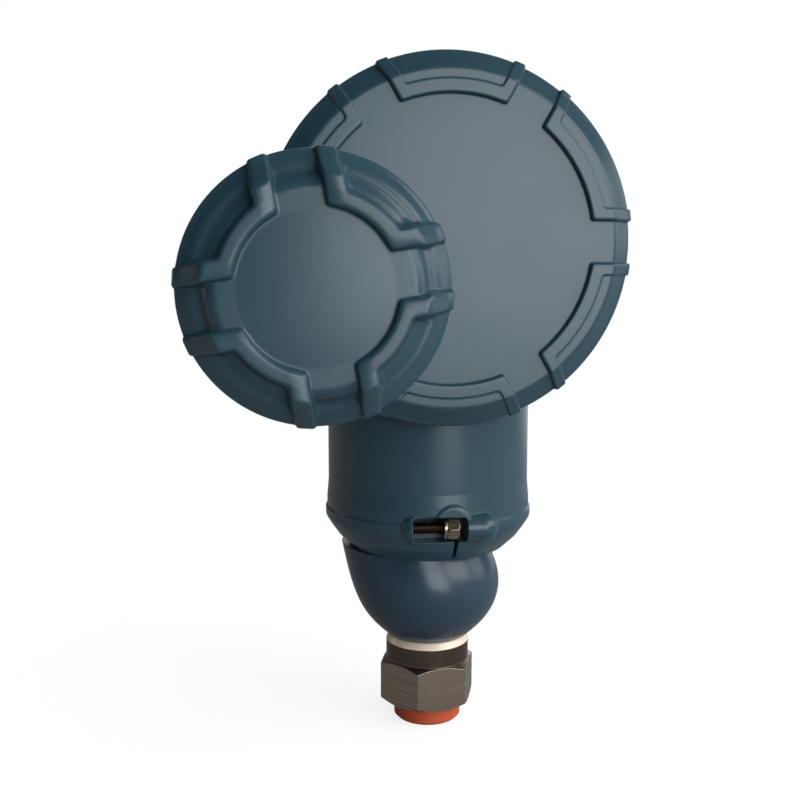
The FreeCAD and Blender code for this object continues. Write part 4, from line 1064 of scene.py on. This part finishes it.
class Pattern:
    """A geometry node tree with named inputs, run once and kept as a plain mesh."""

    def __init__(self, name: str, sizes: dict[str, float | int]) -> None:
        """Open the tree with one named input for each size.

        Args:
            name: name of the tree.
            sizes: input name -> value; whole numbers become whole-number inputs.
        """
        self.name = name
        self.sizes = sizes
        self.tree = bpy.data.node_groups.new(name, "GeometryNodeTree")
        self.graph = Graph(self.tree)
        face = self.tree.interface
        face.new_socket("Geometry", in_out="INPUT", socket_type="NodeSocketGeometry")
        face.new_socket("Geometry", in_out="OUTPUT", socket_type="NodeSocketGeometry")
        self.keys = {}
        for label, size in sizes.items():
            kind = "NodeSocketInt" if isinstance(size, int) else "NodeSocketFloat"
            self.keys[label] = face.new_socket(label, in_out="INPUT",
                                               socket_type=kind).identifier
        self.finish_key = face.new_socket("Finish", in_out="INPUT",
                                          socket_type="NodeSocketMaterial").identifier
        self.given = self.graph.node("NodeGroupInput").outputs

    def scaled(self, label: str, share: float) -> bpy.types.NodeSocket:
        """A share of a named input."""
        return self.graph.product(self.given[label], share)

    def moved(self, geometry: bpy.types.NodeSocket, place: object,
              turned: object = None) -> bpy.types.NodeSocket:
        """Move and turn a geometry."""
        return self.graph.wired("GeometryNodeTransform", {
            "Geometry": geometry, "Translation": place, "Rotation": turned}).outputs[0]

    def random(self, low: float, high: float, stream: int) -> bpy.types.NodeSocket:
        """Random values between two bounds from the seed input and a stream number."""
        low_at, high_at, result_at = 2, 3, 1
        seed = self.graph.maths("ADD", self.given["Seed"], stream)
        return self.graph.wired("FunctionNodeRandomValue", {
            low_at: low, high_at: high, "Seed": seed},
            data_type="FLOAT").outputs[result_at]

    def close(self, geometry: bpy.types.NodeSocket) -> None:
        """End the tree: real geometry with its finish."""
        real = self.graph.wired("GeometryNodeRealizeInstances", {0: geometry})
        dressed = self.graph.wired("GeometryNodeSetMaterial", {
            "Geometry": real.outputs[0], "Material": self.given["Finish"]})
        self.graph.wired("NodeGroupOutput", {0: dressed.outputs[0]})

    def on_points(self, points: bpy.types.NodeSocket, instance: bpy.types.NodeSocket,
                  turned: object, size: object = None) -> bpy.types.NodeSocket:
        """Set a copy of a geometry on every point."""
        return self.graph.wired("GeometryNodeInstanceOnPoints", {
            "Points": points, "Instance": instance, "Rotation": turned,
            "Scale": size}).outputs[0]

    def run(self, name: str, spots: list[Vector], material: bpy.types.Material,
            sharp: float = 32.0) -> bpy.types.Object:
        """Run the tree over a few points and keep the result as a plain piece."""
        base = bpy.data.meshes.new(name + "_spots")
        base.from_pydata([tuple(spot) for spot in spots], [], [])
        holder = bpy.data.objects.new(name + "_spots", base)
        bpy.context.scene.collection.objects.link(holder)
        modifier = holder.modifiers.new(self.name, "NODES")
        modifier.node_group = self.tree
        for label, size in self.sizes.items():
            modifier[self.keys[label]] = size
        modifier[self.finish_key] = material
        ready = holder.evaluated_get(bpy.context.evaluated_depsgraph_get())
        mesh = bpy.data.meshes.new_from_object(ready)
        mesh.name = name
        holder.modifiers.remove(modifier)
        bpy.data.objects.remove(holder)
        return finish_mesh(mesh, name, material, sharp)


@dataclass
class SlottedScrews:
    """Pan-head screws with a straight slot, all facing the front."""

    name: str
    nodes: tuple[str, ...]
    head: float
    rise: float
    shank: float
    slot: float = 0.8
    slot_reach: float = 2.4
    slot_depth: float = 0.9
    columns: int = 40
    seed: int = 11

    def tree(self, grip: float) -> Pattern:
        """Turn the section on a grid, cut the slot and set one on every point."""
        made = Pattern(self.name, {
            "Head Radius": self.head * MM, "Head Rise": self.rise * MM,
            "Shank Radius": self.shank * MM, "Grip": grip * MM,
            "Slot Width": self.slot * MM, "Columns": self.columns, "Seed": self.seed})
        graph, given = made.graph, made.given
        section = (("Shank Radius", 0.0, "Grip", -1.0), ("Shank Radius", 0.7, "Grip", -1.0),
                   ("Shank Radius", 1.0, "Grip", -0.95), ("Shank Radius", 1.0, "Grip", 0.0),
                   ("Head Radius", 0.96, "Grip", 0.0),
                   ("Head Radius", 1.0, "Head Rise", 0.06),
                   ("Head Radius", 1.0, "Head Rise", 0.50),
                   ("Head Radius", 0.96, "Head Rise", 0.72),
                   ("Head Radius", 0.86, "Head Rise", 0.88),
                   ("Head Radius", 0.68, "Head Rise", 0.97),
                   ("Head Radius", 0.0, "Head Rise", 1.0))
        grid = graph.wired("GeometryNodeMeshGrid", {
            "Vertices X": given["Columns"], "Vertices Y": len(section)})
        x, y, _ = graph.split(graph.node("GeometryNodeInputPosition").outputs[0])
        angle = graph.product(graph.maths("ADD", x, 0.5), TURN)
        station = graph.maths("ROUND", graph.product(
            graph.maths("ADD", y, 0.5), len(section) - 1))
        choices = []
        for column in (0, 2):
            choice = graph.node("GeometryNodeIndexSwitch", data_type="FLOAT")
            while len(choice.index_switch_items) < len(section):
                choice.index_switch_items.new()
            graph.feed(choice.inputs[0], station)
            for number, row in enumerate(section):
                graph.feed(choice.inputs[1 + number], made.scaled(row[column],
                                                                  row[column + 1]))
            choices.append(choice.outputs[0])
        radius, height = choices
        turned = graph.wired("GeometryNodeSetPosition", {
            "Geometry": grid.outputs["Mesh"], "Position": graph.vector(
                graph.product(radius, graph.maths("COSINE", angle)),
                graph.product(radius, graph.maths("SINE", angle)), height)})
        merged = graph.wired("GeometryNodeMergeByDistance", {
            "Geometry": turned.outputs[0], "Distance": SAME_SPOT * 10.0})
        blade = graph.wired("GeometryNodeMeshCube", {"Size": graph.vector(
            made.scaled("Head Radius", self.slot_reach), given["Slot Width"],
            made.scaled("Head Rise", self.slot_depth))})
        raised = made.moved(blade.outputs["Mesh"],
                            graph.vector(z=made.scaled("Head Rise", 1.0)))
        cut = graph.wired("GeometryNodeMeshBoolean", {0: merged.outputs[0], 1: raised},
                          operation="DIFFERENCE")
        made.close(made.on_points(given["Geometry"], cut.outputs[0], graph.vector(
            QUARTER, made.random(0.0, TURN / 2.0, 1), 0.0)))
        return made

    def build(self, finishes: Finishes) -> None:
        """Seat one screw at each packed one and take their place."""
        boxes = [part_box(node) for node in self.nodes]
        grip = (boxes[0][1].y - boxes[0][0].y) / MM - self.rise
        spots = [Vector(((low.x + high.x) / 2.0, low.y + self.rise * MM,
                         (low.z + high.z) / 2.0)) for low, high in boxes]
        piece = self.tree(grip).run(self.name, spots, finishes.by_slot[Slot.PLATED])
        hand_over(piece, Body.HOUSING, Slot.PLATED, *self.nodes)


@dataclass
class ThreadRidge:
    """Raised helix of a thread, laid along one axis."""

    name: str
    body: Body
    slot: Slot
    radius: float
    start: tuple[float, float, float]
    length: float
    turned: tuple[float, float, float]
    pitch: float
    ridge: float = 0.42
    sides: int = 4
    steps: int = 72

    def build(self, finishes: Finishes) -> None:
        """Run a four-sided section along a helix and hand the ridge over."""
        made = Pattern(self.name, {
            "Radius": self.radius * MM, "Length": self.length * MM,
            "Turns": self.length / self.pitch, "Ridge": self.ridge * MM,
            "Steps": self.steps})
        graph, given = made.graph, made.given
        path = graph.wired("GeometryNodeCurveSpiral", {
            "Resolution": given["Steps"], "Rotations": given["Turns"],
            "Start Radius": given["Radius"], "End Radius": given["Radius"],
            "Height": given["Length"]})
        upright = graph.wired("GeometryNodeSetCurveNormal", {0: path.outputs[0]},
                              mode="Z_UP")
        section = graph.wired("GeometryNodeCurvePrimitiveCircle", {
            "Resolution": self.sides, "Radius": given["Ridge"]}, mode="RADIUS")
        swept = graph.wired("GeometryNodeCurveToMesh", {
            "Curve": upright.outputs[0], "Profile Curve": section.outputs[0],
            "Fill Caps": True})
        made.close(made.moved(swept.outputs[0], [axis * MM for axis in self.start],
                              self.turned))
        piece = made.run(self.name, [Vector((0.0, 0.0, 0.0))],
                         finishes.by_slot[self.slot], sharp=40.0)
        hand_over(piece, self.body, self.slot)


@dataclass
class BoardParts:
    """Small moulded parts scattered over the front of the main board."""

    room: float = 27.0
    spacing: float = 5.6
    rise: float = 2.4
    edge_points: int = 48
    density: float = 90000.0
    sunk: float = 0.05
    seed: int = 5

    def build(self, finishes: Finishes) -> None:
        """Scatter blocks over a disc, none closer than the spacing."""
        made = Pattern("board_parts", {
            "Room Radius": self.room * MM, "Spacing": self.spacing * MM,
            "Rise": self.rise * MM, "Seed": self.seed})
        graph, given = made.graph, made.given
        low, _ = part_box("main_board")
        disc = graph.wired("GeometryNodeMeshCircle", {
            "Vertices": self.edge_points, "Radius": given["Room Radius"]},
            fill_type="NGON")
        spread = graph.wired("GeometryNodeDistributePointsOnFaces", {
            "Mesh": disc.outputs[0], "Distance Min": given["Spacing"],
            "Density Max": self.density, "Seed": given["Seed"]},
            distribute_method="POISSON")
        block = graph.wired("GeometryNodeMeshCube", {"Size": (1.0, 1.0, 1.0)})
        standing = made.moved(block.outputs["Mesh"], (0.0, 0.0, 0.5))
        quarter = graph.product(graph.maths("ROUND", made.random(0.0, 3.0, 1)),
                                QUARTER)
        size = graph.vector(
            graph.product(given["Spacing"], made.random(0.35, 0.85, 2)),
            graph.product(given["Spacing"], made.random(0.2, 0.5, 3)),
            graph.product(given["Rise"], made.random(0.3, 1.0, 4)))
        placed = made.on_points(spread.outputs["Points"], standing,
                                graph.vector(z=quarter), size)
        middle = middle_of("main_board")
        made.close(made.moved(
            placed, (middle.x * MM, low.y + self.sunk * MM, middle.z * MM),
            (QUARTER, 0.0, 0.0)))
        piece = made.run("board_parts", [Vector((0.0, 0.0, 0.0))],
                         finishes.by_slot[Slot.BLACK])
        hand_over(piece, Body.HOUSING, Slot.BLACK)


def repeated() -> list[SlottedScrews | ThreadRidge | BoardParts]:
    """Everything that repeats or follows a path."""
    entry = middle_of("wire_gland")
    return [
        SlottedScrews("terminal_screws_slotted",
                      tuple(f"terminal_screw_{n}" for n in (1, 2, 3)), 3.1, 2.2, 1.6),
        SlottedScrews("block_screws_slotted",
                      tuple(f"block_screw_{n}" for n in (1, 2)), 3.1, 2.0, 1.6, seed=12),
        SlottedScrews("board_screws_slotted",
                      tuple(f"board_screw_{n}" for n in (1, 2, 3)), 3.0, 2.0, 1.4,
                      seed=13),
        BoardParts(),
        ThreadRidge("port_thread", Body.MODULE, Slot.STEEL, 9.35, (0.0, 0.0, 0.8), 13.4,
                    (0.0, 0.0, 0.0), 1.814, ridge=0.6),
        ThreadRidge("left_entry_thread", Body.HOUSING, Slot.HOUSING, 9.35,
                    (CAD_BOX[0][0] / MM + 0.8, entry.y, entry.z), 13.0,
                    (0.0, QUARTER, 0.0), 1.5, ridge=0.55)]


# ---------------------------------------------------------------- studio

@dataclass
class Lamp:
    """A square soft light aimed at a spot."""

    name: str
    place: tuple[float, float, float]
    aim: tuple[float, float, float]
    side: float
    watts: float
    tint: Colour = (1.0, 1.0, 1.0)

    def build(self) -> None:
        """Add the lamp to the scene."""
        data = bpy.data.lights.new(self.name, "AREA")
        data.shape = "SQUARE"
        data.size = self.side
        data.energy = self.watts
        data.color = self.tint
        lamp = bpy.data.objects.new(self.name, data)
        lamp.location = self.place
        away = Vector(self.aim) - Vector(self.place)
        lamp.rotation_euler = away.to_track_quat("-Z", "Y").to_euler()
        bpy.context.scene.collection.objects.link(lamp)


@dataclass
class Studio:
    """Plain pale floor, white surround, soft lights and the camera."""

    floor_size: float = 8.0
    shadow_reach: float = 0.06
    white_from: float = 0.24
    floor_tone: float = 0.30
    floor_lift: float = 0.80
    fill_level: float = 0.02
    soft_level: float = 1.3
    soft_side: tuple[float, float, float] = (0.82, -0.38, 0.42)
    room_tone: float = 0.03
    back_level: float = 1.4
    camera_place: tuple[float, float, float] = (-0.0514, -0.3255, 0.1370)
    camera_pitch: float = 83.3
    camera_yaw: float = -7.37
    lens: float = 45.0

    def floor(self) -> None:
        """Lay the floor under the plug; away from the part it fades to plain white."""
        low = CAD_BOX[0][2]
        half = self.floor_size / 2.0
        corners = [(-half, -half, low), (half, -half, low), (half, half, low),
                   (-half, half, low)]
        mesh = bpy.data.meshes.new("studio_floor")
        mesh.from_pydata(corners, [], [(0, 1, 2, 3)])
        floor = bpy.data.objects.new("studio_floor", mesh)
        bpy.context.scene.collection.objects.link(floor)
        made = Surface("studio_floor")
        graph = made.graph
        made.set(base_color=(self.floor_tone, self.floor_tone, self.floor_tone, 1.0),
                 roughness=0.9, specular_ior_level=0.1)
        length = graph.wired("ShaderNodeVectorMath", {0: made.place}, operation="LENGTH")
        far = graph.ramp(length.outputs["Value"], self.shadow_reach, self.white_from)
        x, y, _ = graph.split(made.place)
        behind = graph.product(graph.ramp(y, self.white_from, self.white_from * 3.0),
                               graph.ramp(x, -self.white_from, self.white_from))
        path = graph.node("ShaderNodeLightPath")
        seen = graph.maths("MAXIMUM", path.outputs["Is Camera Ray"],
                           graph.product(path.outputs["Is Glossy Ray"], behind))
        made.shader.inputs["Emission Color"].default_value = WHITE
        made.set(emission_strength=graph.product(path.outputs["Is Camera Ray"],
                                                 self.floor_lift))
        white = graph.wired("ShaderNodeEmission", {"Color": WHITE})
        mix = graph.wired("ShaderNodeMixShader", {
            0: graph.product(far, seen), 1: made.shader.outputs[0], 2: white.outputs[0]})
        out = made.material.node_tree.nodes["Material Output"]
        graph.feed(out.inputs["Surface"], mix.outputs[0])
        mesh.materials.append(made.material)

    def surround(self) -> None:
        """White wherever the camera looks, a white backdrop and a dim room mirrored."""
        world = bpy.data.worlds.new("surround")
        world.use_nodes = True
        graph = Graph(world.node_tree)
        world.node_tree.nodes.clear()
        way = graph.node("ShaderNodeTexCoord").outputs["Generated"]
        x, y, _ = graph.split(way)
        backdrop = graph.maths("ADD", self.room_tone, graph.product(
            graph.ramp(y, 0.45, 0.85), graph.ramp(x, -0.25, 0.25, 0.03, 1.0)))
        fill = graph.maths(
            "ADD", graph.ramp(graph.alike(way, self.soft_side), 0.18, 0.95,
                              self.fill_level, self.soft_level),
            graph.ramp(y, 0.35, 1.0, 0.0, self.back_level))

        def ground(strength: object) -> bpy.types.NodeSocket:
            return graph.wired("ShaderNodeBackground", {
                "Color": WHITE, "Strength": strength}).outputs[0]

        def either(share: object, first: object, second: object) -> bpy.types.NodeSocket:
            return graph.wired("ShaderNodeMixShader", {
                0: share, 1: first, 2: second}).outputs[0]

        path = graph.node("ShaderNodeLightPath")
        lit = either(path.outputs["Is Glossy Ray"], ground(fill), ground(backdrop))
        clear = graph.maths("MAXIMUM", path.outputs["Is Camera Ray"],
                            path.outputs["Is Transmission Ray"])
        out = graph.node("ShaderNodeOutputWorld")
        graph.feed(out.inputs["Surface"], either(clear, lit, ground(1.0)))
        bpy.context.scene.world = world

    def lamps(self) -> None:
        """Key at the upper right, a cool front box and a low lamp at each side."""
        aim = (0.0, -0.02, 0.11)
        for lamp in (Lamp("key", (0.80, -0.62, 0.58), aim, 0.7, 4.6, (1.0, 0.985, 0.96)),
                     Lamp("front", (0.30, -1.06, 0.22), aim, 0.56, 3.9,
                          (0.93, 0.98, 1.0)),
                     Lamp("right_edge", (0.95, -0.02, 0.35), aim, 0.45, 1.0),
                     Lamp("left_edge", (-0.80, 0.46, 0.22), aim, 0.25, 0.3,
                          (1.0, 0.86, 0.70))):
            lamp.build()

    def camera(self) -> None:
        """Stand the camera level with the covers, a little to their left."""
        data = bpy.data.cameras.new("camera")
        data.lens = self.lens
        data.sensor_width = 36.0
        data.clip_start = 0.01
        camera = bpy.data.objects.new("camera", data)
        camera.location = self.camera_place
        camera.rotation_euler = (math.radians(self.camera_pitch), 0.0,
                                 math.radians(self.camera_yaw))
        bpy.context.scene.collection.objects.link(camera)
        bpy.context.scene.camera = camera

    def build(self) -> None:
        """Set up the whole studio."""
        self.floor()
        self.surround()
        self.lamps()
        self.camera()
        bpy.context.scene.view_settings.view_transform = "Standard"


def main() -> None:
    """Build the studio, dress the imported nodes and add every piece."""
    logging.basicConfig(level=logging.INFO, format="%(name)s %(message)s")
    Studio().build()
    finishes = Finishes()
    finishes.dress_nodes()
    for cover in covers():
        cover.build(finishes)
    ClampScrew().build(finishes)
    for piece in repeated():
        piece.build(finishes)


if __name__ == "__main__":
    main()
